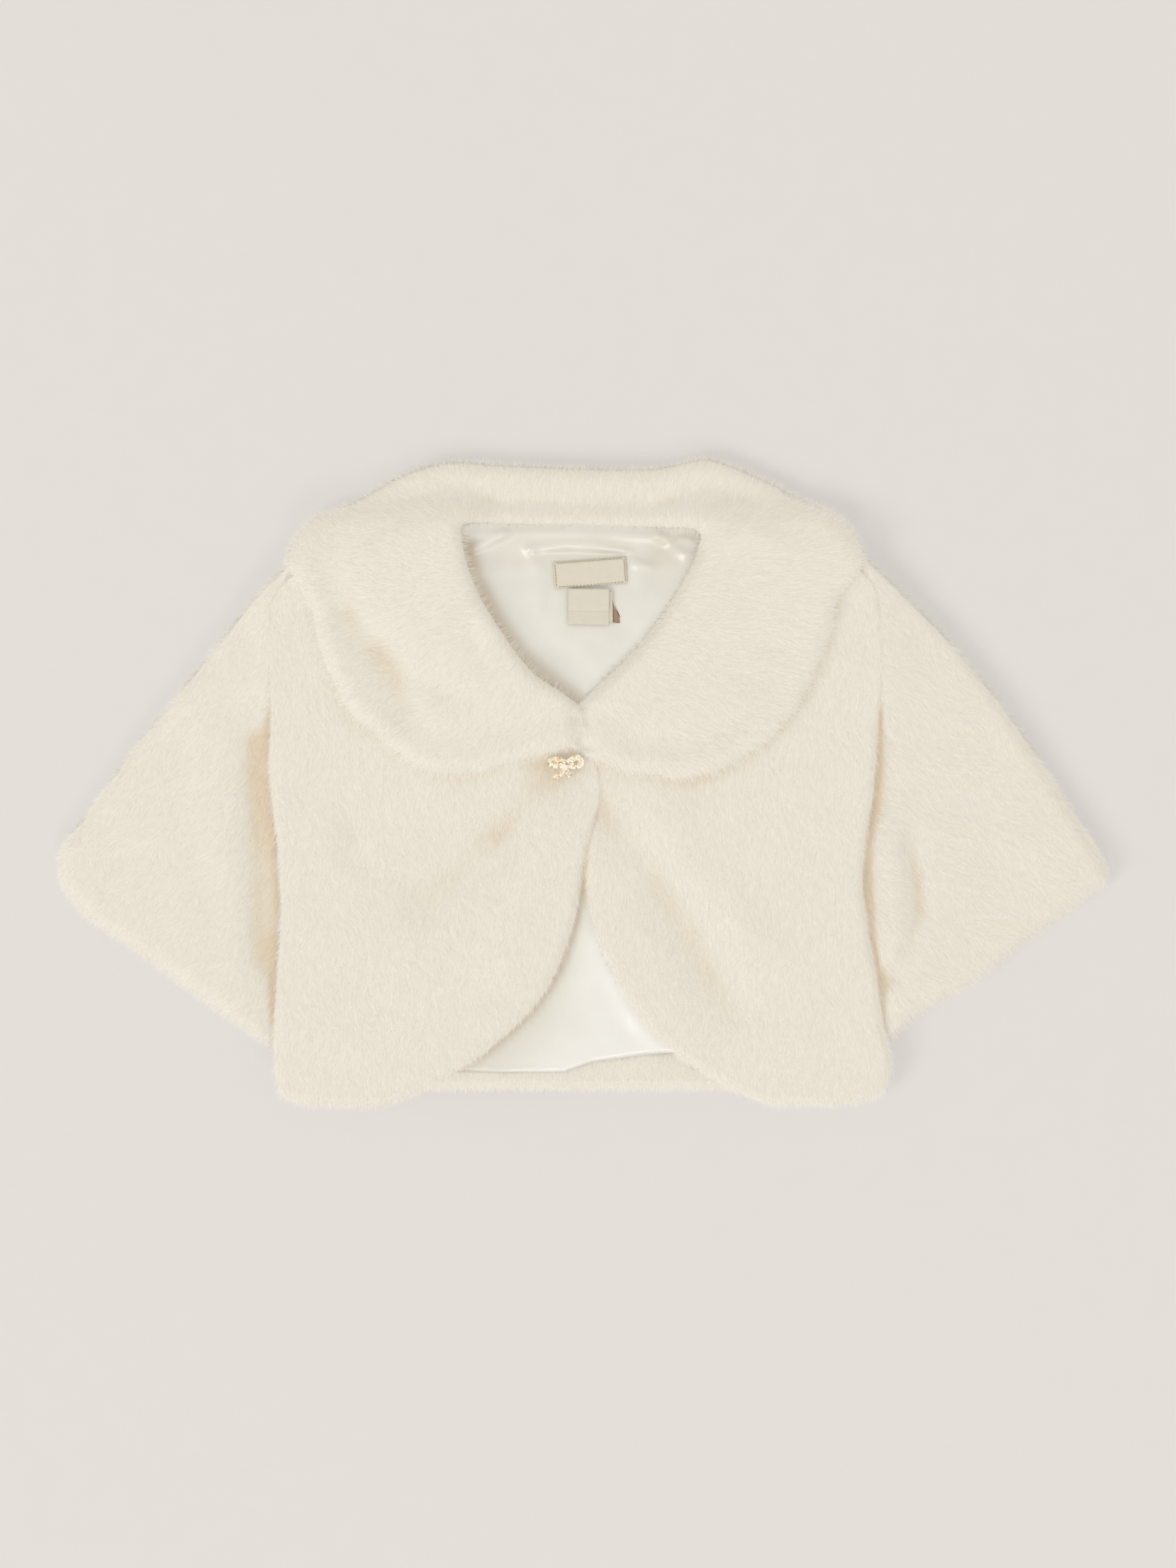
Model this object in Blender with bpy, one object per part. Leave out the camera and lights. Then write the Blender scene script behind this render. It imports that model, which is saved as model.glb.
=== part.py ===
"""Child's short faux-fur bolero with a wide round collar, lying flat on its back.

The row frame is in metres with +Z up. The garment lies on the plane Z = 0 with its neck towards +Y, and
the origin is under the middle of its outline. Every table below is in millimetres, measured on the garment
as it lies. Left and right are as seen from above.
"""

import math

import bmesh
import bpy
import numpy as np
from mathutils import Matrix

MM = 0.001

# Driving sizes: cloth thickness with its pile, and the heights at which the layers lie.
GAP = 0.3                 # between pieces at a seam
BACK_PILE = 6.0           # back panel, its pile pressed down by the weight on it
LINING_CLOTH = 1.0        # satin lining
FRONT_PILE = 10.0         # front panels, pile standing
SLEEVE_BACK_PILE = 6.0    # sleeve layer that lies on the floor
SLEEVE_SLIT = 1.0         # space left between the two sleeve layers
SLEEVE_FRONT_PILE = 8.5   # sleeve layer on top
COLLAR_PILE = 11.0        # collar, where it lies on the fronts
COLLAR_FALL = 2.8         # collar behind the neck, pressed flat under the back
LABEL_CLOTH = 1.0
CARE_SPACE = 1.0          # between the two layers of the folded label
RIM = 0.8                 # half of the upright edge left round every panel

LINING_Z = BACK_PILE + GAP
FRONT_Z = LINING_Z + LINING_CLOTH + GAP
FRONT_TOP = FRONT_Z + FRONT_PILE
COLLAR_Z = FRONT_TOP + 0.4
LABEL_Z = LINING_Z + LINING_CLOTH + GAP
SLIT_Z = SLEEVE_BACK_PILE
SLEEVE_TOP = SLIT_Z + SLEEVE_SLIT + SLEEVE_FRONT_PILE

# Where the collar's back fall ends, and how far below it the back panel starts to rise over it.
FALL_EDGE_Y = 124.0
FALL_RISE = (106.0, 118.0)
FALL_CLEAR = COLLAR_FALL + 0.5
FALL_NARROWING = 0.94
NECK_SEAM_Y = 143.0

# Panels cut in level sections: y, left edge x, right edge x.
BACK_SECTIONS = [
    (142.5, -72.0, 68.0), (133.0, -107.0, 104.0), (122.0, -147.0, 145.0), (112.0, -168.0, 164.0),
    (95.0, -178.5, 169.5), (62.0, -177.5, 170.5), (0.0, -177.0, 166.5), (-46.0, -172.0, 159.5),
    (-82.0, -171.0, 162.5), (-114.0, -173.5, 168.0), (-146.0, -174.5, 173.5), (-165.0, -173.5, 174.5),
    (-175.0, -169.0, 170.0),
]
LINING_SECTIONS = [
    (142.8, -66.0, 62.0), (133.0, -100.0, 97.0), (122.0, -139.0, 137.0), (112.0, -160.0, 156.0),
    (62.0, -171.0, 164.0), (0.0, -170.5, 160.0), (-46.0, -165.5, 153.0), (-82.0, -164.5, 156.0),
    (-114.0, -167.0, 161.5), (-160.0, -167.0, 166.0),
]
FRONT_LEFT_SECTIONS = [
    (142.0, -78.0, -74.0), (133.0, -112.0, -72.0), (123.0, -154.0, -69.0), (114.0, -171.0, -66.0),
    (95.0, -180.0, -57.0), (62.0, -178.5, -33.0), (38.0, -177.5, -4.0), (20.0, -178.0, 4.5),
    (0.0, -178.0, 9.5), (-36.0, -173.5, 2.0), (-78.0, -172.0, -6.5), (-114.0, -174.5, -20.5),
    (-145.0, -175.5, -49.0), (-167.0, -174.5, -82.0), (-178.0, -170.0, -106.0), (-183.5, -153.0, -131.0),
]
FRONT_RIGHT_SECTIONS = [
    (141.0, 71.0, 75.0), (132.5, 69.0, 111.0), (123.0, 66.0, 153.0), (114.0, 61.0, 166.0),
    (95.0, 49.5, 170.0), (62.0, 19.0, 171.0), (38.0, 0.5, 169.5), (20.0, 6.0, 168.0), (0.0, 10.8, 167.0),
    (-36.0, 4.2, 161.5), (-55.0, 3.2, 160.5), (-82.0, 8.6, 163.0), (-110.0, 20.2, 168.5),
    (-134.0, 35.5, 171.0), (-152.0, 55.0, 175.2), (-168.0, 79.0, 175.0), (-178.0, 102.0, 168.0),
    (-183.0, 122.0, 141.0),
]
SLEEVE_LEFT_SECTIONS = [
    (128.0, -171.5, -166.5), (120.0, -178.0, -170.0), (104.0, -192.5, -180.0), (82.0, -208.5, -181.5),
    (60.0, -224.5, -180.5), (18.0, -256.5, -180.0), (-22.0, -284.5, -177.0), (-36.0, -295.0, -175.5),
    (-46.0, -297.5, -174.8), (-56.0, -296.0, -174.2), (-67.0, -289.0, -174.0), (-98.0, -249.0, -175.2),
    (-134.0, -201.0, -177.5), (-148.5, -179.5, -178.0),
]
SLEEVE_RIGHT_SECTIONS = [
    (128.0, 162.5, 167.5), (120.0, 165.5, 176.0), (104.0, 172.0, 191.0), (86.0, 172.5, 207.5),
    (56.0, 172.8, 231.5), (8.0, 169.5, 264.0), (-16.0, 167.0, 279.5), (-34.0, 164.0, 291.0),
    (-46.0, 162.8, 298.0), (-54.0, 162.6, 299.0), (-64.0, 163.2, 288.0), (-92.0, 167.0, 248.0),
    (-112.0, 170.8, 223.5), (-131.0, 173.0, 191.5), (-144.0, 176.4, 178.0),
]

# Space inside a sleeve: y, how far it keeps inside the outer edge, how far inside the body edge.
# Below zero it runs out through that edge, as at the cuff and at the armhole.
SLIT_MARGINS = [
    (102.0, 9.0, -3.0), (60.0, 9.0, -3.0), (0.0, 9.0, -3.0), (-34.0, 9.0, -3.0), (-50.0, 1.0, 3.0),
    (-58.0, -8.0, 7.0), (-98.0, -9.0, 7.0), (-128.0, -9.0, 7.0),
]

# Collar, a section across it at each row, from its left end round the neck to its right end: neck edge x, y,
# then outer edge x, y, where it ends on the fronts or turns over at the shoulders and behind the neck.
COLLAR_SECTIONS = [
    (-4.0, 46.0, -6.0, 22.0), (-13.0, 54.0, -33.0, 11.0), (-25.0, 62.0, -60.0, 4.0),
    (-34.0, 72.0, -90.0, 5.0), (-42.0, 83.0, -113.0, 21.0), (-49.0, 94.0, -134.0, 40.0),
    (-55.0, 104.0, -146.0, 64.0), (-60.0, 115.0, -155.0, 95.0), (-64.0, 127.0, -167.0, 129.0),
    (-65.5, 135.0, -156.0, 147.0), (-66.0, 140.0, -128.0, 160.0), (-66.0, 143.2, -104.0, 174.0),
    (-62.0, 144.5, -80.0, 182.0), (-47.0, 144.3, -49.0, 181.0), (-1.0, 143.3, -1.0, 179.0),
    (45.0, 142.2, 47.0, 179.7), (60.0, 141.6, 71.0, 184.0), (64.0, 140.0, 95.0, 176.0),
    (65.0, 137.0, 121.0, 162.5), (63.5, 133.0, 150.0, 147.0), (61.0, 126.0, 160.0, 130.0),
    (54.0, 113.0, 144.0, 97.0), (49.0, 105.0, 140.0, 77.0), (43.0, 96.0, 130.0, 56.0),
    (36.0, 86.0, 117.0, 33.0), (28.0, 76.0, 96.0, 15.0), (19.0, 67.0, 65.0, 2.0), (9.0, 58.0, 31.0, 3.0),
    (-1.5, 46.5, 4.0, 16.0),
]

# Folds in the top of a panel: from x, y, to x, y, height of the ridge (a trough is below zero), half width.
FRONT_LEFT_FOLDS = [(-32.0, -8.0, -72.0, -54.0, -5.0, 15.0), (-12.0, -34.0, -40.0, -92.0, 2.0, 18.0)]
FRONT_RIGHT_FOLDS = [(19.0, -18.0, 66.0, -96.0, -5.0, 14.0), (60.0, -36.0, 110.0, -94.0, 2.5, 19.0)]
SLEEVE_LEFT_FOLDS = [(-190.0, 84.0, -184.0, -112.0, -4.5, 13.0)]
SLEEVE_RIGHT_FOLDS = [(176.0, -32.0, 178.0, -100.0, 3.5, 9.0), (188.0, -30.0, 188.0, -96.0, -4.0, 8.0)]
COLLAR_FOLDS = [(-128.0, 88.0, -102.0, 44.0, -4.5, 11.0), (94.0, 70.0, 66.0, 40.0, -3.0, 16.0)]

# Labels: middle x, y, width, height; degrees turned. The bow: middle x, y, width over both loops.
NECK_LABEL = (4.4, 118.6, 41.2, 14.8)
NECK_LABEL_TURN = 4.4
SIZE_LABEL = (3.6, 99.4, 22.4, 19.4)
CARE_LABEL = (5.4, 99.6, 26.0, 19.0)
BOW = (-10.0, 10.6, 22.4)

# Finishes: colour, roughness, metallic.
FINISHES = {
    "fur": ((0.80, 0.74, 0.63), 0.95, 0.0),
    "satin": ((0.86, 0.83, 0.77), 0.35, 0.0),
    "label": ((0.74, 0.69, 0.58), 0.8, 0.0),
    "gold": ((0.78, 0.56, 0.28), 0.25, 1.0),
}

EDGE_STEPS = (0.0, 1.4, 4.5, 10.0)   # distances in from an edge at which a panel has points
ACROSS = 7                           # further points across a panel
SECTION_STEP = 19.0                  # between sections along a panel


def clear_scene():
    """Empties the scene that the script is run in."""
    for thing in list(bpy.data.objects):
        bpy.data.objects.remove(thing, do_unlink=True)


def smooth(t):
    """0 to 1 as t goes from 0 to 1, level at both ends."""
    t = np.clip(t, 0.0, 1.0)
    return t * t * (3 - 2 * t)


def through_rows(rows, at):
    """Rows of a table joined by one smooth curve (Catmull-Rom), read at places from 0 to 1 along it."""
    rows = np.array(rows, float)
    steps = np.linalg.norm(np.diff(rows, axis=0), axis=1)
    knots = np.concatenate([[0], np.cumsum(steps)])
    slopes = np.gradient(rows, knots, axis=0)
    t = np.asarray(at, float) * knots[-1]
    i = np.clip(np.searchsorted(knots, t, side="right") - 1, 0, len(rows) - 2)
    h = (knots[i + 1] - knots[i])[:, None]
    s = (t - knots[i])[:, None] / h
    return (
        rows[i] * (2 * s**3 - 3 * s**2 + 1) + slopes[i] * h * (s**3 - 2 * s**2 + s)
        + rows[i + 1] * (3 * s**2 - 2 * s**3) + slopes[i + 1] * h * (s**3 - s**2)
    )


def from_edges(length, inner):
    """Places from 0 to length: the edge steps in from both ends, with inner more between them."""
    reach = min(EDGE_STEPS[-1], 0.3 * length)
    near = np.array(EDGE_STEPS) * reach / EDGE_STEPS[-1]
    middle = np.linspace(reach, length - reach, inner + 2)[1:-1]
    return np.concatenate([near, middle, length - near[::-1]])


def section_places(rows, step=SECTION_STEP):
    """Where along a table the panel gets its sections: close at both ends, about step apart between."""
    rows = np.array(rows, float)
    length = np.linalg.norm(np.diff(rows, axis=0), axis=1).sum()
    return from_edges(length, max(2, round(length / step))) / length


def distance_to_line(points, line):
    """Distance from each point to a run of straight pieces, all in the plane."""
    best = np.full(len(points), np.inf)
    for a, b in zip(line[:-1], line[1:]):
        run = b - a
        along = np.clip((points - a) @ run / max(run @ run, 1e-9), 0, 1)
        best = np.minimum(best, np.linalg.norm(points - a - along[:, None] * run, axis=1))
    return best


def inside(points, loop):
    """Whether each point lies inside a closed outline, by counting the edges to its right."""
    found = np.zeros(len(points), bool)
    for (ax, ay), (bx, by) in zip(loop[:-1], loop[1:]):
        if ay != by:
            crosses = (points[:, 1] < ay) != (points[:, 1] < by)
            found ^= crosses & (points[:, 0] < ax + (points[:, 1] - ay) * (bx - ax) / (by - ay))
    return found


def outline(rows):
    """Closed outline of a panel given in level sections."""
    y, left, right = through_rows(rows, np.linspace(0, 1, 90)).T
    one_side = np.stack([left, y], 1)
    other = np.stack([right, y], 1)[::-1]
    return np.concatenate([one_side, other, one_side[:1]])


def folds_at(points, folds):
    """Height that the folds add: each is a soft ridge or trough along a line, fading out past its ends."""
    added = np.zeros(len(points))
    for ax, ay, bx, by, height, half_width in folds:
        line = np.array([(ax, ay), (bx, by)])
        added += height * np.exp(-((distance_to_line(points, line) / half_width) ** 2))
    return added


def rounded(distance, radius):
    """Quarter-round edge: 0 at the edge, 1 from radius inwards."""
    return np.sqrt(1 - (1 - np.clip(distance / radius, 0, 1)) ** 2)


def loft(name, rings, finish):
    """Closed solid through rings with the same number of points, its first and last ring filled."""
    rings = np.asarray(rings, float) * MM
    count, around = rings.shape[:2]
    mesh_points = bmesh.new()
    made = [[mesh_points.verts.new(point) for point in ring] for ring in rings]
    for first, second in zip(made[:-1], made[1:]):
        for k in range(around):
            after = (k + 1) % around
            mesh_points.faces.new((first[k], first[after], second[after], second[k]))
    mesh_points.faces.new(made[0][::-1])
    mesh_points.faces.new(made[-1])
    bmesh.ops.triangulate(mesh_points, faces=mesh_points.faces[:])
    bmesh.ops.recalc_face_normals(mesh_points, faces=mesh_points.faces[:])
    return finished(name, mesh_points, finish)


def finished(name, mesh_points, finish):
    """Object in the garment's collection from a bmesh, shaded smooth, with its finish."""
    mesh = bpy.data.meshes.new(name)
    mesh_points.to_mesh(mesh)
    mesh_points.free()
    mesh.shade_smooth()
    mesh.set_sharp_from_angle(angle=math.radians(50))
    thing = bpy.data.objects.new(name, mesh)
    garment.objects.link(thing)
    mesh.materials.append(material(name, finish))
    return thing


def material(name, finish):
    """A piece's own material, in one of the finishes."""
    colour, roughness, metallic = FINISHES[finish]
    made = bpy.data.materials.new(f"{name}_{finish}")
    made.use_nodes = True
    shader = made.node_tree.nodes["Principled BSDF"]
    shader.inputs["Base Color"].default_value = (*colour, 1.0)
    shader.inputs["Roughness"].default_value = roughness
    shader.inputs["Metallic"].default_value = metallic
    return made


def panel(name, rows, base, pile, finish, folds=(), edge=9.0, lift=None):
    """Panel of cloth lying flat, in level sections: round-edged on top with its folds, flat below.

    base is the height of its underside, which lift raises by a function of y, and edge the edge's radius.
    """
    loop = outline(rows)
    middle = 0.42 * pile
    rim = min(RIM, 0.3 * pile)
    rings = []
    for y, left, right in through_rows(rows, section_places(rows)):
        over = left + from_edges(right - left, ACROSS)
        under = left + from_edges(right - left, 0)[[0, 2, -3, -1]]
        raised = lift(y) if lift else 0.0
        top = np.stack([over, np.full(len(over), y)], 1)
        low = np.stack([under, np.full(len(under), y)], 1)[::-1]
        depth = distance_to_line(top, loop)
        crown = pile + folds_at(top, folds) - middle - rim
        curve = rounded(depth, edge)
        swell = 0.03 * pile * np.sin(np.pi * (over - left) / (right - left))
        top_z = base + middle + rim + crown * curve + swell * (1 - curve)
        low_z = base + raised + (middle - rim - raised / 2) * (1 - rounded(distance_to_line(low, loop), 4.0))
        rings.append(np.concatenate([np.column_stack([top, top_z]), np.column_stack([low, low_z])]))
    return loft(name, rings, finish)


def back_rise(y):
    """How far the back panel's underside rises to leave room for the collar's fall behind the neck."""
    start, end = FALL_RISE
    return FALL_CLEAR * float(np.clip((y - start) / (end - start), 0, 1))


def sleeve(name, rows, folds, out):
    """Sleeve pressed flat: one cloth folded along the arm, open at the armhole and at the cuff.

    out is the way from the body to the cuff along x, -1 or 1.
    """
    body = panel(name, rows, 0.0, SLEEVE_TOP, "fur", folds, edge=11.0)
    y_up, low_x, high_x = np.array(rows[::-1]).T
    cuff_x, body_x = (low_x, high_x) if out < 0 else (high_x, low_x)
    rings = []
    for y, cuff_margin, body_margin in SLIT_MARGINS:
        far = np.interp(y, y_up, cuff_x) - out * cuff_margin
        near = np.interp(y, y_up, body_x) + out * body_margin
        low, high = SLIT_Z, SLIT_Z + SLEEVE_SLIT
        rings.append([(far, y, low), (near, y, low), (near, y, high), (far, y, high)])
    slit = loft(name + "_slit", rings, "fur")
    as_cutter(slit)
    combine(body, slit, "DIFFERENCE")
    return body


def as_cutter(thing):
    """Moves an object out of the garment, to serve only in a Boolean."""
    for home in list(thing.users_collection):
        home.objects.unlink(thing)
    cutters.objects.link(thing)
    thing.hide_render = True
    thing.display_type = "WIRE"


def combine(thing, other, operation):
    """Adds a Boolean of thing with other."""
    boolean = thing.modifiers.new(other.name, "BOOLEAN")
    boolean.operation = operation
    boolean.solver = "EXACT"
    boolean.object = other


def collar_floor(points):
    """Underside of the collar's upper layer: level on the fronts, and sinking past them to what is below."""
    loops = [outline(FRONT_LEFT_SECTIONS), outline(FRONT_RIGHT_SECTIONS)]
    past = [np.where(inside(points, loop), 0, distance_to_line(points, loop)) for loop in loops]
    behind = smooth((points[:, 1] - NECK_SEAM_Y - 2) / 14)
    below = LABEL_Z + 0.4 - (LABEL_Z - COLLAR_FALL - 0.2) * behind
    return below + (COLLAR_Z - below) * (1 - smooth(np.min(past, axis=0) / 30))


def collar(name):
    """Collar: lies on the fronts, and behind the neck turns over outwards and falls flat under the back."""
    places = section_places(COLLAR_SECTIONS, step=17.0)
    sections = through_rows(COLLAR_SECTIONS, places)
    dense = through_rows(COLLAR_SECTIONS, np.linspace(0, 1, 160))
    loop = np.concatenate([dense[:, :2], dense[::-1, 2:], dense[:1, :2]])
    middle = 0.42 * COLLAR_PILE
    rings = []
    for inner_x, inner_y, outer_x, outer_y in sections:
        neck = np.array([inner_x, inner_y])
        rim = np.array([outer_x, outer_y])
        width = np.linalg.norm(rim - neck)
        out = (rim - neck) / width
        turned = float(smooth((outer_y - 133.0) / 12.0))
        over = neck + from_edges(width, ACROSS - 1)[:, None] * out
        depth = distance_to_line(over, loop)
        crown = COLLAR_PILE + folds_at(over, COLLAR_FOLDS) - middle - RIM
        over_z = collar_floor(over) + middle + RIM + crown * rounded(depth, 10.0)
        under = neck + from_edges(width, 1)[:-2, None][::-1] * out
        under_depth = distance_to_line(under, loop)
        under_z = collar_floor(under) + (middle - RIM) * (1 - rounded(under_depth, 4.0))
        # The fall: down from the rim, flat on the floor to its end, and back along its upper side.
        fall_end = np.array([rim[0] * FALL_NARROWING, FALL_EDGE_Y])
        run = fall_end - rim
        shares = np.array([0.0, 0.06, 0.5, 0.97, 1.0, 0.97, 0.5, 0.22])
        heights = np.array([4.0, 0.6, 0.0, 0.0, 0.5 * COLLAR_FALL, COLLAR_FALL, COLLAR_FALL, COLLAR_FALL])
        turned_down = np.column_stack([rim + shares[:, None] * run, heights])
        tucked = rim - np.linspace(0.3, 4.0, len(shares))[:, None] * out
        tucked_depth = distance_to_line(tucked, loop)
        tucked_z = collar_floor(tucked) + (middle - RIM) * (1 - rounded(tucked_depth, 4.0))
        flat = np.column_stack([tucked, tucked_z])
        rings.append(np.concatenate([
            np.column_stack([over, over_z]), (1 - turned) * flat + turned * turned_down,
            np.column_stack([under, under_z]),
        ]))
    return loft(name, rings, "fur")


def plate(name, place, base, thickness, turn=0.0):
    """Flat label: a thin cube with its edges rounded."""
    x, y, width, height = place
    made = bmesh.new()
    bmesh.ops.create_cube(made, size=1.0)
    bmesh.ops.scale(made, vec=(width * MM, height * MM, thickness * MM), verts=made.verts[:])
    thing = finished(name, made, "label")
    thing.location = (x * MM, y * MM, (base + thickness / 2) * MM)
    thing.rotation_euler.z = math.radians(turn)
    return thing


def care_label(name):
    """Folded strip behind the size label: two layers with a space between, folded at the lower end."""
    x, y, width, height = CARE_LABEL
    thickness = 2 * LABEL_CLOTH + CARE_SPACE
    strip = plate(name, CARE_LABEL, LABEL_Z, thickness)
    shape = bmesh.new()
    shape.from_mesh(strip.data)
    lower = [edge for edge in shape.edges
             if all(v.co.y < 0 for v in edge.verts) and edge.verts[0].co.x != edge.verts[1].co.x]
    bmesh.ops.bevel(shape, geom=lower, offset=0.45 * thickness * MM, segments=3, profile=0.5, affect="EDGES")
    shape.to_mesh(strip.data)
    shape.free()
    space = plate(name + "_space", (x, y + 2.0, width + 4.0, height), LABEL_Z + LABEL_CLOTH, CARE_SPACE)
    as_cutter(space)
    combine(strip, space, "DIFFERENCE")
    return strip


def bow(name):
    """Bow-shaped metal clasp: two loops, a knot and two tails, joined into one solid."""
    x, y, width = BOW
    base = FRONT_TOP + 0.5
    wire = 1.15
    loop_x = width / 4 + 0.3
    loop_major = (width / 2 - loop_x - wire) / 1.2
    pieces = []
    for side, lean in ((-1, -8), (1, 12)):
        bpy.ops.mesh.primitive_torus_add(
            major_radius=loop_major * MM, minor_radius=wire * MM, major_segments=20, minor_segments=8)
        loop = bpy.context.object
        loop.data.transform(Matrix.Diagonal((1.2, 0.82, 1.0, 1.0)))
        loop.location = ((x + side * loop_x) * MM, (y + 1.2) * MM, (base + wire) * MM)
        loop.rotation_euler.z = math.radians(lean * side)
        pieces.append(loop)
    for tail_x, length, lean in ((-1.6, 9.4, -32), (1.6, 8.4, 16)):
        bpy.ops.mesh.primitive_cone_add(
            vertices=10, radius1=1.5 * MM, radius2=0.9 * MM, depth=length * MM)
        tail = bpy.context.object
        tail.rotation_euler = (math.radians(90), 0, math.radians(lean))
        reach = length / 2 * MM
        turn = math.radians(lean)
        tail.location = (x * MM + reach * math.sin(turn) + 0.3 * tail_x * MM,
                         y * MM - reach * math.cos(turn), (base + 1.5) * MM)
        pieces.append(tail)
    bpy.ops.mesh.primitive_uv_sphere_add(segments=14, ring_count=8, radius=1.0 * MM)
    knot = bpy.context.object
    knot.data.transform(Matrix.Diagonal((2.1, 2.5, 2.0, 1.0)))
    knot.location = (x * MM, (y + 1.0) * MM, (base + 2.0) * MM)
    knot.name = name
    knot.data.shade_smooth()
    knot.data.materials.append(material(name, "gold"))
    for home in list(knot.users_collection):
        home.objects.unlink(knot)
    garment.objects.link(knot)
    for number, thing in enumerate(pieces):
        thing.name = f"{name}_piece_{number}"
        as_cutter(thing)
        combine(knot, thing, "UNION")
    return knot


clear_scene()
garment = bpy.data.collections.new("bolero")
cutters = bpy.data.collections.new("cutters")
for group in (garment, cutters):
    bpy.context.scene.collection.children.link(group)

panel("back", BACK_SECTIONS, 0.0, BACK_PILE, "fur", edge=5.0, lift=back_rise)
panel("lining", LINING_SECTIONS, LINING_Z, LINING_CLOTH, "satin", edge=1.0)
panel("front_left", FRONT_LEFT_SECTIONS, FRONT_Z, FRONT_PILE, "fur", FRONT_LEFT_FOLDS)
panel("front_right", FRONT_RIGHT_SECTIONS, FRONT_Z, FRONT_PILE, "fur", FRONT_RIGHT_FOLDS)
sleeve("sleeve_left", SLEEVE_LEFT_SECTIONS, SLEEVE_LEFT_FOLDS, out=-1)
sleeve("sleeve_right", SLEEVE_RIGHT_SECTIONS, SLEEVE_RIGHT_FOLDS, out=1)
collar("collar")
plate("neck_label", NECK_LABEL, LABEL_Z, LABEL_CLOTH, NECK_LABEL_TURN)
care_label("care_label")
plate("size_label", SIZE_LABEL, LABEL_Z + 2 * LABEL_CLOTH + CARE_SPACE + GAP, LABEL_CLOTH)
bow("bow_clasp")
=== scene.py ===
# %% [markdown]
# # A child's faux-fur bolero, laid flat
#
# A bolero is a very short jacket. This one has a wide round collar, sleeves cut like a small cape, and
# fronts that curve away below a bow-shaped clasp, so the satin lining of the back shows in the neck and
# at the hem. It lies on its back, seen from straight above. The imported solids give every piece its
# place. Here each piece gets its looks.

import math

import bpy
import numpy as np
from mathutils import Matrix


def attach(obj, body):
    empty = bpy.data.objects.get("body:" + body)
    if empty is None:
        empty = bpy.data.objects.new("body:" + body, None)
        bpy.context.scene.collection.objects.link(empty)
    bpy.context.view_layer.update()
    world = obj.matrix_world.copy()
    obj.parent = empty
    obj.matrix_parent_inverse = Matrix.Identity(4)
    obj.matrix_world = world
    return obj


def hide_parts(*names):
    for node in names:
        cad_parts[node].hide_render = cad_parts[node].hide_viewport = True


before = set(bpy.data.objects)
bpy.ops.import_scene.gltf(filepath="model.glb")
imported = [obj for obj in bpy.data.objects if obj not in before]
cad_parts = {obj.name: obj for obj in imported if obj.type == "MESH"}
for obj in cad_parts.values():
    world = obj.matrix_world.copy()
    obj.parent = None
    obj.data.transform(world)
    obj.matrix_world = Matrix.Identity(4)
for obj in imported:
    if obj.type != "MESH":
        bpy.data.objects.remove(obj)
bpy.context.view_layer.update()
scene = bpy.context.scene
MM = 0.001
print("pieces in the frame:", ", ".join(sorted(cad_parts)))

# %% [markdown]
# ## Camera, floor and light
#
# The photograph looks straight down and shows 0.40 mm for each of its 1659 by 2212 pixels. A long lens
# from high up keeps the edges upright. The garment is nearly as pale as the floor, so shape comes from
# soft light alone: a wide lamp on the left, a weaker one in front, and a bright, even surrounding, as
# in a light tent.

# %% Camera
PHOTO_WIDE, PHOTO_HIGH = 1659, 2212
MM_PER_PIXEL = 0.40
GARMENT_MIDDLE = (821.5, 1104.0)   # pixel of the photograph that lies over the origin
CAMERA_HEIGHT = 2.6   # metres above the fur's top, where the scale holds
FUR_TOP = 0.012
SENSOR = 36.0   # millimetres


def placed(name, data):
    """Object with this data, linked to the scene."""
    thing = bpy.data.objects.new(name, data)
    scene.collection.objects.link(thing)
    return thing


lens = bpy.data.cameras.new("camera")
lens.sensor_fit = "AUTO"
lens.sensor_width = SENSOR
lens.lens = SENSOR * CAMERA_HEIGHT / (PHOTO_HIGH * MM_PER_PIXEL * MM)
lens.clip_start, lens.clip_end = 0.05, 20.0
camera = placed("camera", lens)
camera.location = (
    (PHOTO_WIDE / 2 - GARMENT_MIDDLE[0]) * MM_PER_PIXEL * MM,
    (GARMENT_MIDDLE[1] - PHOTO_HIGH / 2) * MM_PER_PIXEL * MM,
    CAMERA_HEIGHT + FUR_TOP,
)
scene.camera = camera
print("lens", round(lens.lens, 1), "mm")

# %% Light
LAMP_WHITE = (1.0, 0.985, 0.96)
world = bpy.data.worlds.new("light_tent")
world.use_nodes = True
tent = world.node_tree.nodes["Background"].inputs
tent["Color"].default_value = (1.0, 0.985, 0.965, 1.0)
tent["Strength"].default_value = 0.885
scene.world = world


def lamp(name, place, size, power):
    """Square area lamp at place that faces the middle of the garment."""
    light = bpy.data.lights.new(name, "AREA")
    light.size, light.energy, light.color = size, power, LAMP_WHITE
    thing = placed(name, light)
    thing.location = place
    x, y, z = place
    thing.rotation_euler = (math.atan2(math.hypot(x, y), z), 0.0, math.atan2(x, -y))


lamp("key", (-9.2, -6.0, 8.4), 5.2, 360.0)
lamp("front", (0.8, -10.4, 7.6), 3.4, 130.0)
scene.view_settings.view_transform = "Standard"
scene.view_settings.look = "None"
scene.view_settings.exposure = 0.0
scene.cycles.diffuse_bounces = 6   # light wanders far between pale things
print("lamps:", ", ".join(light.name for light in bpy.data.lights))

# %% [markdown]
# ## Writing materials as sums
#
# A node tree is easier to read as an expression. This class holds one socket. Adding or multiplying it
# makes the Math node for that, and its `node` method makes any other node from its type, its settings
# and its inputs. The nodes used most have a short method each.


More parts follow.
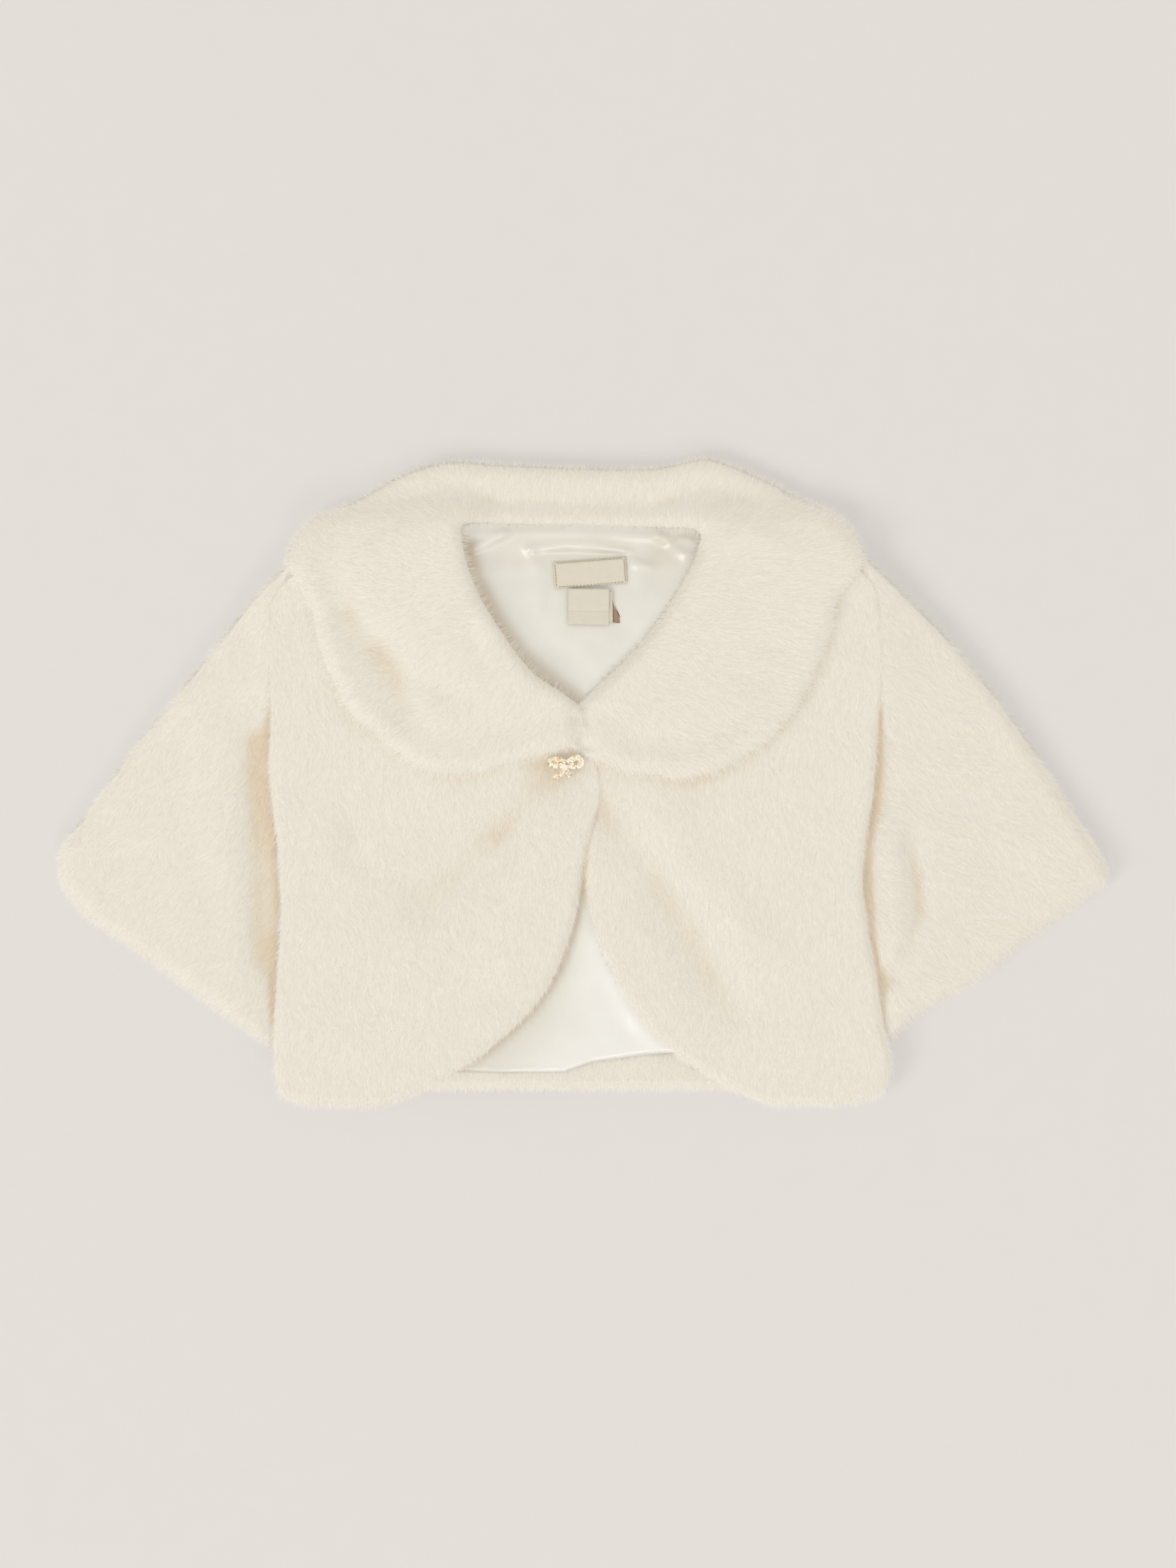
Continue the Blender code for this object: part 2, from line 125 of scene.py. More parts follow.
# %% Sockets as values
class Wire:
    """One socket of a node tree, which takes part in sums like a number."""

    def __init__(self, tree, socket=None):
        self.tree, self.socket = tree, socket

    def node(self, kind, settings=None, inputs=None, output=0):
        """New node of a kind: its settings, then a value or a Wire for each named or numbered input."""
        made = self.tree.nodes.new("ShaderNode" + kind)
        for name, value in (settings or {}).items():
            if name == "stops":
                elements = made.color_ramp.elements
                while len(elements) < len(value):
                    elements.new(0.5)
                for element, (place, colour) in zip(elements, value):
                    element.position, element.color = place, (*colour, 1.0)
            else:
                setattr(made, name, value)
        for name, value in (inputs or {}).items():
            if isinstance(value, Wire):
                self.tree.links.new(value.socket, made.inputs[name])
            else:
                made.inputs[name].default_value = value
        return Wire(self.tree, made.outputs[output])

    def math(self, operation, first, second=0.0):
        """What an operation makes of two values."""
        return self.node("Math", {"operation": operation}, {0: first, 1: second})

    def __add__(self, other):
        return self.math("ADD", self, other)

    __radd__ = __add__

    def __sub__(self, other):
        return self.math("SUBTRACT", self, other)

    def __rsub__(self, other):
        return self.math("SUBTRACT", other, self)

    def __mul__(self, other):
        return self.math("MULTIPLY", self, other)

    __rmul__ = __mul__

    def mix(self, low, high):
        """Colour that goes from low to high as this value goes from 0 to 1."""
        colours = [c if isinstance(c, Wire) else (*c, 1.0) for c in (low, high)]
        return self.node("Mix", {"data_type": "RGBA"}, {0: self, 6: colours[0], 7: colours[1]}, output=2)

    def tinted(self, tone):
        """This colour times a tone, channel by channel."""
        settings = {"data_type": "RGBA", "blend_type": "MULTIPLY"}
        return self.node("Mix", settings, {0: 1.0, 6: self, 7: tone}, output=2)

    def ramp(self, stops):
        """Colour that passes the stops, each a place from 0 to 1 and its colour, as this value rises."""
        return self.node("ValToRGB", {"stops": stops}, {0: self})

    def place(self):
        """Place on the piece in metres."""
        return self.node("TexCoord", output=3)

    def noise(self, place, scale, detail):
        """Random cloud from about 0 to 1, with a patch about one part in scale of a metre wide."""
        return self.node("TexNoise", None, {"Vector": place, "Scale": scale, "Detail": detail})

    def waves(self, place, direction, scale, distortion=0.0, detail=2.0):
        """Bands from 0 to 1 and back, one after another in a direction."""
        inputs = {"Vector": place, "Scale": scale, "Distortion": distortion, "Detail": detail}
        return self.node("TexWave", {"bands_direction": direction}, inputs)

    def bump(self, strength, distance):
        """Normal of a surface that has this value for its height."""
        return self.node("Bump", None, {"Strength": strength, "Distance": distance, "Height": self})

    def kept(self, name):
        """Number that the mesh keeps under a name."""
        return self.node("Attribute", {"attribute_name": name}, output=2)


def blank(name):
    """New material, and a Wire to start its nodes from."""
    material = bpy.data.materials.new(name)
    material.use_nodes = True
    return Wire(material.node_tree)


def finish(name, colour, roughness, normal=None, **fixed):
    """Material that blank began. What is the same all over goes in fixed, and the rest may be Wires."""
    material = bpy.data.materials[name]
    shader = material.node_tree.nodes["Principled BSDF"]
    for socket, value in {"Base Color": colour, "Roughness": roughness, "Normal": normal, **fixed}.items():
        if isinstance(value, Wire):
            material.node_tree.links.new(value.socket, shader.inputs[socket])
        elif value is not None:
            shader.inputs[socket].default_value = value
    return material


# %% Floor
FLOOR_Z, FLOOR_REACH = -0.0004, 4.0
start = blank("pale_card")
grain = start.noise(start.place(), 60.0, 3.0)
card = finish("pale_card", grain.mix((0.730, 0.703, 0.674), (0.744, 0.717, 0.688)), 0.9)
corners = [(FLOOR_REACH * x, FLOOR_REACH * y, FLOOR_Z) for x, y in ((-1, -1), (1, -1), (1, 1), (-1, 1))]
floor_mesh = bpy.data.meshes.new("floor")
floor_mesh.from_pydata(corners, [], [(0, 1, 2, 3)])
floor_mesh.materials.append(card)
floor = placed("floor", floor_mesh)
print("floor", 2 * FLOOR_REACH, "m wide")

# %% [markdown]
# ## The cut of the pieces
#
# All lengths from here on are in millimetres. The outlines are short tables, with x to the right, y to
# the neck and the origin under the middle. A smooth curve runs through the rows of each. The body
# panels are given in level sections, the collar in sections across it, from its left end round the neck
# to its right end.

# %% Outlines
BACK = [
    (142.5, -72, 68), (133, -107, 104), (122, -147, 145), (112, -168, 164),
    (95, -178.5, 169.5), (62, -177.5, 170.5), (0, -177, 166.5), (-46, -172, 159.5),
    (-82, -171, 162.5), (-114, -173.5, 168), (-146, -174.5, 173.5), (-165, -173.5, 174.5),
    (-175, -169, 170),
]
LINING = [
    (148, -58, 54), (133, -100, 97), (122, -139, 137), (112, -160, 156),
    (62, -171, 164), (0, -170.5, 160), (-46, -165.5, 153), (-82, -164.5, 156),
    (-114, -167, 161.5), (-160, -167, 166),
]
FRONT_LEFT = [
    (142, -78, -74), (133, -112, -72), (123, -154, -69), (114, -171, -66),
    (95, -180, -57), (62, -178.5, -33), (38, -177.5, -4), (20, -178, 4.5),
    (0, -178, 9.5), (-36, -173.5, 2), (-78, -172, -6.5), (-114, -174.5, -20.5),
    (-145, -175.5, -49), (-167, -174.5, -82), (-178, -170, -106), (-183.5, -153, -131),
]
FRONT_RIGHT = [
    (141, 71, 75), (132.5, 69, 111), (123, 66, 153), (114, 61, 166),
    (95, 49.5, 170), (62, 19, 171), (38, 0.5, 169.5), (20, 6, 168), (0, 10.8, 167),
    (-36, 4.2, 161.5), (-55, 3.2, 160.5), (-82, 8.6, 163), (-110, 20.2, 168.5),
    (-134, 35.5, 171), (-152, 55, 175.2), (-168, 79, 175), (-178, 102, 168),
    (-183, 122, 141),
]
SLEEVE_LEFT = [
    (128, -171.5, -166.5), (120, -178, -170), (104, -192.5, -180), (82, -208.5, -181.5),
    (60, -224.5, -180.5), (18, -256.5, -180), (-22, -284.5, -177), (-36, -295, -175.5),
    (-46, -297.5, -174.8), (-56, -296, -174.2), (-67, -289, -174), (-98, -249, -175.2),
    (-134, -201, -177.5), (-148.5, -179.5, -178),
]
SLEEVE_RIGHT = [
    (128, 162.5, 167.5), (120, 165.5, 176), (104, 172, 191), (86, 172.5, 207.5),
    (56, 172.8, 231.5), (8, 169.5, 264), (-16, 167, 279.5), (-34, 164, 291),
    (-46, 162.8, 298), (-54, 162.6, 299), (-64, 163.2, 288), (-92, 167, 248),
    (-112, 170.8, 223.5), (-131, 173, 191.5), (-144, 176.4, 178),
]
COLLAR = [   # neck edge x, y, outer edge x, y
    (3, 42.5, 3.5, 18.5), (-13, 54, -33, 11), (-25, 62, -60, 4),
    (-34, 72, -90, 5), (-42, 83, -113, 21), (-49, 94, -134, 40),
    (-55, 104, -146, 64), (-60, 115, -155, 95), (-64, 127, -167, 129),
    (-65.5, 135, -156, 147), (-66, 140, -128, 160), (-66, 143.2, -104, 174),
    (-62, 144.5, -80, 182), (-47, 144.3, -49, 181), (-1, 143.3, -1, 179),
    (45, 142.2, 47, 179.7), (60, 141.6, 71, 184), (64, 140, 95, 176),
    (65, 137, 121, 162.5), (63.5, 133, 150, 147), (61, 126, 160, 130),
    (54, 113, 144, 97), (49, 105, 140, 77), (43, 96, 130, 56),
    (36, 86, 117, 33), (28, 76, 96, 15), (19, 67, 65, 2), (9, 58, 31, 3),
    (-5, 43.5, -3, 14),
]

# Heights at which the layers lie, and where the collar's fall ends and its seam runs behind the neck.
LINING_Z, FRONT_Z, COLLAR_Z = 6.3, 7.6, 15.6
COLLAR_FALL, FALL_EDGE_Y, NECK_SEAM_Y = 2.8, 124.0, 143.0
print("collar from", len(COLLAR), "sections")


# %% Curves through the rows
def smooth(t):
    """0 to 1 as t goes from 0 to 1, level at both ends: 3t squared less 2t cubed."""
    t = np.clip(t, 0.0, 1.0)
    return t * t * (3 - 2 * t)


def run_along(line):
    """Length of a line of points from its start to each point."""
    return np.concatenate([[0], np.cumsum(np.linalg.norm(np.diff(line, axis=0), axis=1))])


def through_rows(rows, at):
    """Smooth curve through a table's rows: on each span, the cubic with the rows' slopes at its ends."""
    rows = np.array(rows, float)
    knots = run_along(rows)
    slopes = np.gradient(rows, knots, axis=0)
    t = np.asarray(at, float) * knots[-1]
    i = np.clip(np.searchsorted(knots, t, side="right") - 1, 0, len(rows) - 2)
    h = (knots[i + 1] - knots[i])[:, None]
    s = (t - knots[i])[:, None] / h
    return (
        rows[i] * (2 * s**3 - 3 * s**2 + 1) + slopes[i] * h * (s**3 - 2 * s**2 + s)
        + rows[i + 1] * (3 * s**2 - 2 * s**3) + slopes[i + 1] * h * (s**3 - s**2)
    )


def evenly(line, count):
    """count points at equal steps of length along a line of points."""
    run = run_along(line)
    at = np.linspace(0, run[-1], count)
    return np.stack([np.interp(at, run, column) for column in line.T], 1)


# %% Inside and outside
def distance_to(points, line):
    """Distance in the plane from points to a run of straight pieces, for an array of points of any shape."""
    flat = np.asarray(points, float)[..., :2].reshape(-1, 2)
    best = np.full(len(flat), np.inf)
    for a, b in zip(line[:-1], line[1:]):
        run = b - a
        along = np.clip((flat - a) @ run / max(run @ run, 1e-9), 0, 1)
        best = np.minimum(best, np.hypot(*(flat - a - along[:, None] * run).T))
    return best.reshape(np.shape(points)[:-1])


def within(points, loop):
    """Whether points lie inside an outline: an odd number of its edges cross the level line to the right."""
    x, y = np.asarray(points, float)[..., 0], np.asarray(points, float)[..., 1]
    found = np.zeros(x.shape, bool)
    for (ax, ay), (bx, by) in zip(loop[:-1], loop[1:]):
        if ay != by:
            found ^= ((y < ay) != (y < by)) & (x < ax + (y - ay) * (bx - ax) / (by - ay))
    return found


def past(points, loop):
    """How far points lie outside a closed outline, 0 inside it."""
    return np.where(within(points, loop), 0.0, distance_to(points, loop))


# %% Edges of the pieces
NARROWEST = 1.5   # a panel ends where its edges come closer than this


def panel_edges(rows, insets, count):
    """Left and right edge of a panel, each moved in by its inset square to itself, with count points each."""
    y, left, right = through_rows(rows, np.linspace(0, 1, 400)).T
    moved = []
    for x, side, inset in ((left, 1.0, insets[0]), (right, -1.0, insets[1])):
        edge = np.stack([x, y], 1)
        run = np.gradient(edge, axis=0)
        run /= np.linalg.norm(run, axis=1, keepdims=True)
        edge = edge + side * inset * np.stack([-run[:, 1], run[:, 0]], 1)
        edge[:, 1] = edge[:, 1].clip(y.min() + max(insets), y.max() - max(insets))
        moved.append(edge)
    wide = moved[1][:, 0] - moved[0][:, 0] > NARROWEST
    return evenly(np.concatenate([moved[0][wide], moved[1][wide]], 1), count)


def loop_of(edges):
    """Closed outline from two edges: down the first and back up the second."""
    return np.concatenate([edges[:, :2], edges[::-1, 2:], edges[:1, :2]])


def panel_loop(rows, inset=0.0):
    """Closed outline of a panel, moved in by inset."""
    return loop_of(panel_edges(rows, (inset, inset), 120))


def collar_edges(inset, count):
    """Neck edge and outer edge of the collar, moved in by inset along the section, and the ends a little."""
    rows = through_rows(COLLAR, np.linspace(0, 1, 500))
    across = rows[:, 2:] - rows[:, :2]
    across /= np.linalg.norm(across, axis=1, keepdims=True)
    moved = np.concatenate([rows[:, :2] + inset * across, rows[:, 2:] - inset * across], 1)
    run, end = run_along(moved), 0.45 * inset
    return evenly(moved[(run > end) & (run < run[-1] - end)], count)


FRONT_LOOPS = [panel_loop(FRONT_LEFT), panel_loop(FRONT_RIGHT)]
print("front outlines of", len(FRONT_LOOPS[0]), "points")

# %% [markdown]
# ## Folds
#
# Cloth that has lain in a pile keeps soft troughs where it was dragged or creased. The biggest run from
# the clasp down both fronts, and across the left end of the collar. A fold is a line, a height (a
# trough is below zero) and a half width. A slow random swell keeps the rest from being flat.

# %% Fold lines
FOLDS = {   # height, half width, points of the line
    "front_left": [
        (-2.4, 16, [(-20, 2), (-38, -17), (-54, -33), (-72, -52), (-84, -66)]),
        (-0.8, 8, [(-19, 1), (-36, -16), (-48, -29)]),
        (-2.4, 24, [(-54, -30), (-78, -50), (-94, -56)]),
        (-1.6, 7, [(-131, -26), (-127, -46)]),
        (1.8, 15, [(-14, -26), (-34, -62), (-46, -96)]),
        (-1.2, 22, [(-104, -20), (-126, -14)]),
    ],
    "front_right": [
        (-3, 15, [(13, -18), (24, -28), (36, -42), (46, -60), (58, -84), (68, -104), (82, -128)]),
        (-1.2, 20, [(50, -70), (70, -104)]),
        (2, 15, [(40, -20), (72, -62), (96, -88)]),
    ],
    "sleeve_left": [
        (-2.8, 9, [(-185, 24), (-183, -30), (-180, -96)]),
        (-1.6, 14, [(-190, 84), (-186, 20), (-182, -110)]),
        (-1.2, 20, [(-236, 18), (-214, -70)]),
    ],
    "sleeve_right": [
        (2.6, 10, [(174, -34), (176, -66), (173, -98)]),
        (-2.2, 6, [(184, -30), (189, -56), (189, -74), (184, -92), (174, -110)]),
        (-1.2, 20, [(226, 20), (224, -50)]),
    ],
    "collar": [
        (-2.6, 12, [(-132, 93), (-118, 79), (-106, 62), (-99, 44)]),
        (-1.6, 10, [(-112, 74), (-103, 60)]),
        (-2, 8, [(-86, 58), (-74, 48)]),
        (-1.8, 12, [(104, 72), (94, 60)]),
        (-1.2, 5, [(-62, 86), (-57, 70)]),
    ],
}


def bell(t):
    """Bell curve: 1 at 0, and next to nothing past 2 on either side."""
    return np.exp(-(t**2))


def fold_height(points, name):
    """Sum over a piece's folds of height times the bell curve of the distance to the fold's line."""
    return sum(
        height * bell(distance_to(points, np.array(line, float)) / half_width)
        for height, half_width, line in FOLDS.get(name, [])
    )


SWELL = 0.35   # height of the swell on the pieces


def swell(points, scale, seed):
    """Slow random field from about -1 to 1: a sum of waves in random directions, each about scale long."""
    rng = np.random.default_rng(seed)
    turn, phase = rng.uniform(0, 2 * np.pi, (2, 9))
    reach = 2 * np.pi / (scale * rng.uniform(0.7, 1.6, 9))
    x, y = points[..., 0, None], points[..., 1, None]
    return np.sin(reach * (x * np.cos(turn) + y * np.sin(turn)) + phase).sum(-1) / 4.0


print("folds:", {name: len(folds) for name, folds in FOLDS.items()})


# %% [markdown]
# ## Cloth under the fur
#
# Faux fur is a knitted backing with a pile on it. The backing is modelled as a thin closed shell that
# keeps inside the solid by the length of the pile, because the solid reaches as far as the fur does.
# Every shell is a grid: rings of points round a section, one ring for each section, so any piece can
# hand its grid on to the fur.


# %% Shells from rings
def mesh_object(name, points, faces, material, smooth_shading=True):
    """Object at the origin from points in millimetres."""
    mesh = bpy.data.meshes.new(name)
    mesh.from_pydata(np.asarray(points, float).reshape(-1, 3) * MM, [], faces)
    if smooth_shading:
        mesh.shade_smooth()
    mesh.materials.append(material)
    thing = placed(name, mesh)
    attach(thing, "root")
    return thing


def numbered(*shape):
    """Grid of this shape that holds the number of each point."""
    return np.arange(math.prod(shape)).reshape(shape)


def quads(k, closed=True):
    """Four-sided faces between neighbours in a grid of point numbers, whose rows are rings if closed."""
    if closed:
        k = np.concatenate([k, k[..., :1]], -1)
    near, far = k[..., :-1, :], k[..., 1:, :]
    return np.stack([near[..., :-1], near[..., 1:], far[..., 1:], far[..., :-1]], -1).reshape(-1, 4)


def skin(rings):
    """Points and faces of a closed skin through rings: faces between neighbours, and a cap on either end."""
    k = numbered(*rings.shape[:2])
    return rings.reshape(-1, 3), quads(k).tolist() + [k[0, ::-1].tolist(), k[-1].tolist()]


def shell(name, rings, material):
    """Object with the skin through rings."""
    return mesh_object(name, *skin(rings), material)


# %% Rings of a panel
CLASP_SPOT = np.array([9.0, -6.0])   # the fronts are drawn together here


def crowded(count):
    """Shares from 0 to 1, closer at both ends: 1 less the cosine of even steps to half a turn, halved."""
    return 0.5 - 0.5 * np.cos(np.pi * np.arange(count) / (count - 1))


def between(edges, share):
    """Grid of points: for each row of two edges, shares of the way from the first to the second."""
    first, second = edges[:, None, :2], edges[:, None, 2:]
    return first + share[:, None] * (second - first)


def rounded(distance, radius):
    """Quarter circle: 0 at the edge, 1 from radius inwards."""
    return np.sqrt(1 - (1 - np.clip(distance / radius, 0, 1)) ** 2)


def panel_rings(rows, name, base, thick, insets, edge, count=96, across=44):
    """Rings of a flat panel's backing: across its top from left to right and back underneath.

    The top is at base plus thick, with the folds and a slow swell. It falls off to the edge as a quarter
    circle of radius edge, less where the cloth is pressed, under the collar and at the clasp.
    """
    edges = panel_edges(rows, insets, count)
    top = between(edges, crowded(across))
    low = top[:, ::-6]
    lift = thick + fold_height(top, name) + SWELL * swell(top, 70.0, len(name))
    at_clasp = bell(np.hypot(*(top - CLASP_SPOT).T).T / 28.0)
    pressed = np.maximum(smooth((top[..., 1] - 10.0) / 50.0), at_clasp)
    form = rounded(distance_to(top, loop_of(edges)), edge * (1 - 0.7 * pressed))
    top_z = base + 1.0 + (np.maximum(lift, 1.6) - 1.0) * form
    low_z = np.full(low.shape[:2], base + 0.3)
    return np.concatenate([np.dstack([top, top_z]), np.dstack([low, low_z])], 1), across


# %% [markdown]
# ## Fur
#
# The pile is short, dense and combed down. Each fibre is one slender spike with its root in the
# backing, and there are tens of thousands on each piece, made as one array. Roots are spread evenly
# over the grid, in proportion to area. A fibre leaves along the surface's normal, leans with the nap,
# and bends to the middle of its tuft, because fibres cling together. It lies with its flat side up, so
# low views see lit faces. Its two numbers for the material, a shade and the way from root to tip, are
# kept as a UV map.


# %% Tufts and directions
def tuft_middle(places, size, seed):
    """Nearest of the tuft middles, which lie one in each square of a grid, anywhere in it."""
    spots = np.random.default_rng(seed).uniform(0.0, 1.0, (64, 64, 2))
    cell = np.floor(places / size).astype(int)
    best, found = np.full(len(places), np.inf), np.zeros_like(places)
    for step in np.array([(i, j) for i in (-1, 0, 1) for j in (-1, 0, 1)]):
        near = cell + step
        middle = (near + spots[near[:, 0] % 64, near[:, 1] % 64]) * size
        apart = np.hypot(*(places - middle).T)
        closer = apart < best
        best[closer], found[closer] = apart[closer], middle[closer]
    return found


def unit(vectors):
    """Vectors divided by their own lengths."""
    return vectors / np.maximum(np.linalg.norm(vectors, axis=-1, keepdims=True), 1e-9)


def square_to(axes, vectors):
    """Directions of vectors less their parts along the axes, which are unit vectors."""
    return unit(vectors - (vectors * axes).sum(1, keepdims=True) * axes)


# %% Fibres as one mesh
LEAN, TUFT = 3.4, 2.6   # how far the pile is combed down, and the size of a tuft
FIBRE, FLATNESS = 0.2, 0.6   # half width of a fibre at its root, and its thickness as a share of that
CORNERS = (1.5708, 3.6652, 5.7596)   # angles of a fibre's three corners
LOWEST_TIP, LOWEST = 0.25, 0.15   # the floor holds the pile up
# Painted shade: in a hollow a fibre's shade falls by the second number times how deep the hollow is.
LEVEL_SHADE, PAINTED_HOLLOW_SHADE = 0.72, 0.62   # a fibre's shade on level cloth, and how much less it is in a hollow
UV_SIDE = 0.012   # how far a fibre's corners lie to the side in the UV map


def fibre_mesh(name, points, shade, normals):
    """Mesh of fibres with four points each, three at the root and one at the tip.

    The UV map has the shade, a random tone less painted crease shade, to the right and the way from root to
    tip upwards.
    """
    count = len(points)
    faces = np.array([(0, 1, 3), (1, 2, 3), (2, 0, 3), (2, 1, 0)])[None] + 4 * np.arange(count)[:, None, None]
    mesh = bpy.data.meshes.new(name)
    mesh.vertices.add(4 * count)
    mesh.vertices.foreach_set("co", (points * MM).astype(np.float32).ravel())
    mesh.loops.add(12 * count)
    mesh.loops.foreach_set("vertex_index", faces.astype(np.int32).ravel())
    mesh.polygons.add(4 * count)
    mesh.polygons.foreach_set("loop_start", np.arange(0, 12 * count, 3, dtype=np.int32))
    u = np.stack([shade - UV_SIDE, shade, shade + UV_SIDE, shade], 1)
    v = np.broadcast_to(np.array([0.02, 0.05, 0.02, 0.98]), u.shape)
    uv = np.stack([u, v], -1).reshape(-1, 2)[faces.reshape(-1)]
    mesh.uv_layers.new(name="OFBake").uv.foreach_set("vector", uv.astype(np.float32).ravel())
    mesh.update(calc_edges=True)
    mesh.shade_smooth()
    mesh.normals_split_custom_set_from_vertices(normals.tolist())
    return mesh


# %% Pile on a grid
def fur(name, rings, furred, depth, nap, count, length, material, seed):
    """Pile on a shell's grid where furred is 1, denser on its rims.

    A fibre runs along normal plus a lean times nap plus a random part, and stands up more on a rim. Its tip
    moves 0.12 of the way to its tuft's middle, and up to 0.4 more on a rim. nap is one direction, or "across"
    to follow the rings from their first point. Shading takes the cloth's normal, leant less on a rim, and a
    little of the fibre's own form.
    """
    rng = np.random.default_rng(seed)
    after = np.roll(rings, -1, 1)
    along = after - np.roll(rings, 1, 1)
    normals = unit(np.cross(np.gradient(rings, axis=0), along))
    area = np.linalg.norm(np.cross(after[1:] - rings[:-1], rings[1:] - after[:-1]), axis=-1) / 2
    weight = (area * furred[:-1] * (2.2 - 1.2 * normals[:-1, :, 2].clip(0, 1))).ravel()
    total = np.cumsum(weight)
    spread = (np.arange(count) + rng.random(count)) * (total[-1] / count)
    i, j = np.divmod(np.searchsorted(total, spread).clip(0, weight.size - 1), rings.shape[1])
    k = (j + 1) % rings.shape[1]
    s, t = rng.random((2, count, 1))

    def at(grid):
        """What a grid has at the roots: the mean of four neighbours by how near they are."""
        first, second = ((1 - t) * grid[row, j] + t * grid[row, k] for row in (i, i + 1))
        return (1 - s) * first + s * second

    root, normal = at(rings), unit(at(normals))
    rim = 1 - normal[:, 2:].clip(0, 1)
    comb = unit(at(along)) if isinstance(nap, str) else np.broadcast_to(np.array(nap, float), root.shape)
    turn = 0.4 * swell(root, 34.0, seed + 1)[:, None]
    comb = square_to(normal, comb * np.cos(turn) + np.cross(comb, normal) * np.sin(turn))
    lying = LEAN * (1.0 - 0.55 * rim + 0.10 * swell(root, 22.0, seed + 2)[:, None])
    way = unit(normal + lying * comb + 0.5 * rng.normal(size=root.shape))
    reach = length * rng.uniform(0.72, 1.12, (count, 1)) * (1 - 0.16 * rim)
    tip = root + reach * way
    tip[:, :2] += (0.12 + 0.4 * rim) * (tuft_middle(root[:, :2], TUFT, seed + 4) - root[:, :2])
    tip[:, 2] = np.maximum(tip[:, 2], LOWEST_TIP)
    way = unit(tip - root)
    ridge = square_to(way, normal)
    side = np.cross(ridge, way)
    wide = FIBRE * rng.uniform(0.7, 1.25, (count, 1)) * (1 - 0.25 * rim)
    root = root - 0.42 * reach * way   # the root reaches down into the backing
    roll = rng.normal(0.0, 0.35, (count, 1))
    foot = [root + wide * (np.cos(roll + a) * side + FLATNESS * np.sin(roll + a) * ridge) for a in CORNERS]
    points = np.stack([*foot, tip], 1)
    points[..., 2] = np.maximum(points[..., 2], LOWEST)
    # Painted shade: fibres in a hollow get a lower shade, which the tones turn darker and warmer.
    shade = LEVEL_SHADE + 0.08 * rng.normal(size=count) + 0.05 * swell(root, 26.0, seed + 6)
    shade = (shade - PAINTED_HOLLOW_SHADE * at(depth[..., None])[:, 0]).clip(0.03, 0.97)
    outward = unit(points - points.mean(1, keepdims=True))
    steep = np.maximum(np.hypot(normal[:, 0], normal[:, 1]), 1e-6)[:, None]
    leant = np.column_stack([normal[:, :2] * np.minimum(1.0, 0.5 / steep), np.ones(count)])
    mesh = fibre_mesh(name, points, shade, unit(leant[:, None] + 0.3 * outward).reshape(-1, 3))
    mesh.materials.append(material)
    thing = placed(name, mesh)
    thing.visible_diffuse = False   # a fibre is clear enough to let soft light through
    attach(thing, "root")
    print(name, count, "fibres,", round(count / weight.sum(), 2), "to the square millimetre of level cloth")
    return thing


# %% Fur and backing finishes
# Painted shade tones: warm and darker in deep creases, white on level cloth. They multiply the colour of the
# fur and of the backing.
PAINTED_SHADE_TONES = [
    (0.0, (0.855, 0.715, 0.56)), (0.3, (0.915, 0.85, 0.765)), (0.62, (0.985, 0.974, 0.955)),
    (1.0, (1.0, 1.0, 1.0)),
]
start = blank("ivory_fur")
strand = start.node("SeparateXYZ", None, {0: start.node("UVMap", {"uv_map": "OFBake"})})
way_up = Wire(start.tree, strand.socket.node.outputs[1])
root_to_tip = [(0.0, (0.86, 0.815, 0.71)), (0.4, (0.93, 0.89, 0.79)), (1.0, (0.95, 0.926, 0.838))]
fur_colour_with_painted_shade = way_up.ramp(root_to_tip).tinted(strand.ramp(PAINTED_SHADE_TONES))
IVORY_FUR = finish("ivory_fur", fur_colour_with_painted_shade, 0.75, **{"Sheen Weight": 0.25, "Sheen Roughness": 0.4})

start = blank("knit_backing")
place = start.place()
combed = start.node("Mapping", None, {"Vector": place, "Scale": (1.0, 0.35, 1.0)})
plush, tufts = start.noise(combed, 1500.0, 3.0), start.noise(place, 330.0, 2.0)
patch = start.noise(place, 55.0, 4.0).mix((0.835, 0.795, 0.695), (0.865, 0.83, 0.73))
# Painted shade on the backing where it lies in a hollow.
tone = (LEVEL_SHADE - PAINTED_HOLLOW_SHADE * start.kept("depth")).ramp(PAINTED_SHADE_TONES)
BACKING = finish("knit_backing", patch.tinted(tone), 0.95, (0.6 * plush + 0.6 * tufts).bump(0.45, 0.0012))
print("finishes:", IVORY_FUR.name, "and", BACKING.name)

# %% [markdown]
# ## Fronts, back and sleeves
#
# The fronts lie on the lining. A sleeve is one cloth folded along the arm and open at the cuff. The
# back shows only its hem, turned up inside, between the fronts. First come the backings of all pieces,
# because the fur needs to know how they lie together.

# %% Body panels
PILE = 1.9   # how far the backing keeps inside the outline, which is the outline of the fur
OPENING = -1.2   # along the opening of the fronts it reaches past the outline
FRONT_THICK, BACK_THICK = 6.8, 5.0
FRONT_EDGE, BACK_EDGE = 4.5, 4.0   # radius of the edge
grids = {
    "front_left": panel_rings(FRONT_LEFT, "front_left", FRONT_Z, FRONT_THICK, (PILE, OPENING), FRONT_EDGE),
    "front_right": panel_rings(FRONT_RIGHT, "front_right", FRONT_Z, FRONT_THICK, (OPENING, PILE), FRONT_EDGE),
    "back": panel_rings(BACK, "back", 0.0, BACK_THICK, (PILE, PILE), BACK_EDGE),
}
print("panels:", ", ".join(grids))


# %% Sleeves
SLEEVE_THICK = 7.2
SLEEVE_ROOM = (3.4, 4.3, 4.6)   # floor and roof of the space in a sleeve, and the level its top stands on


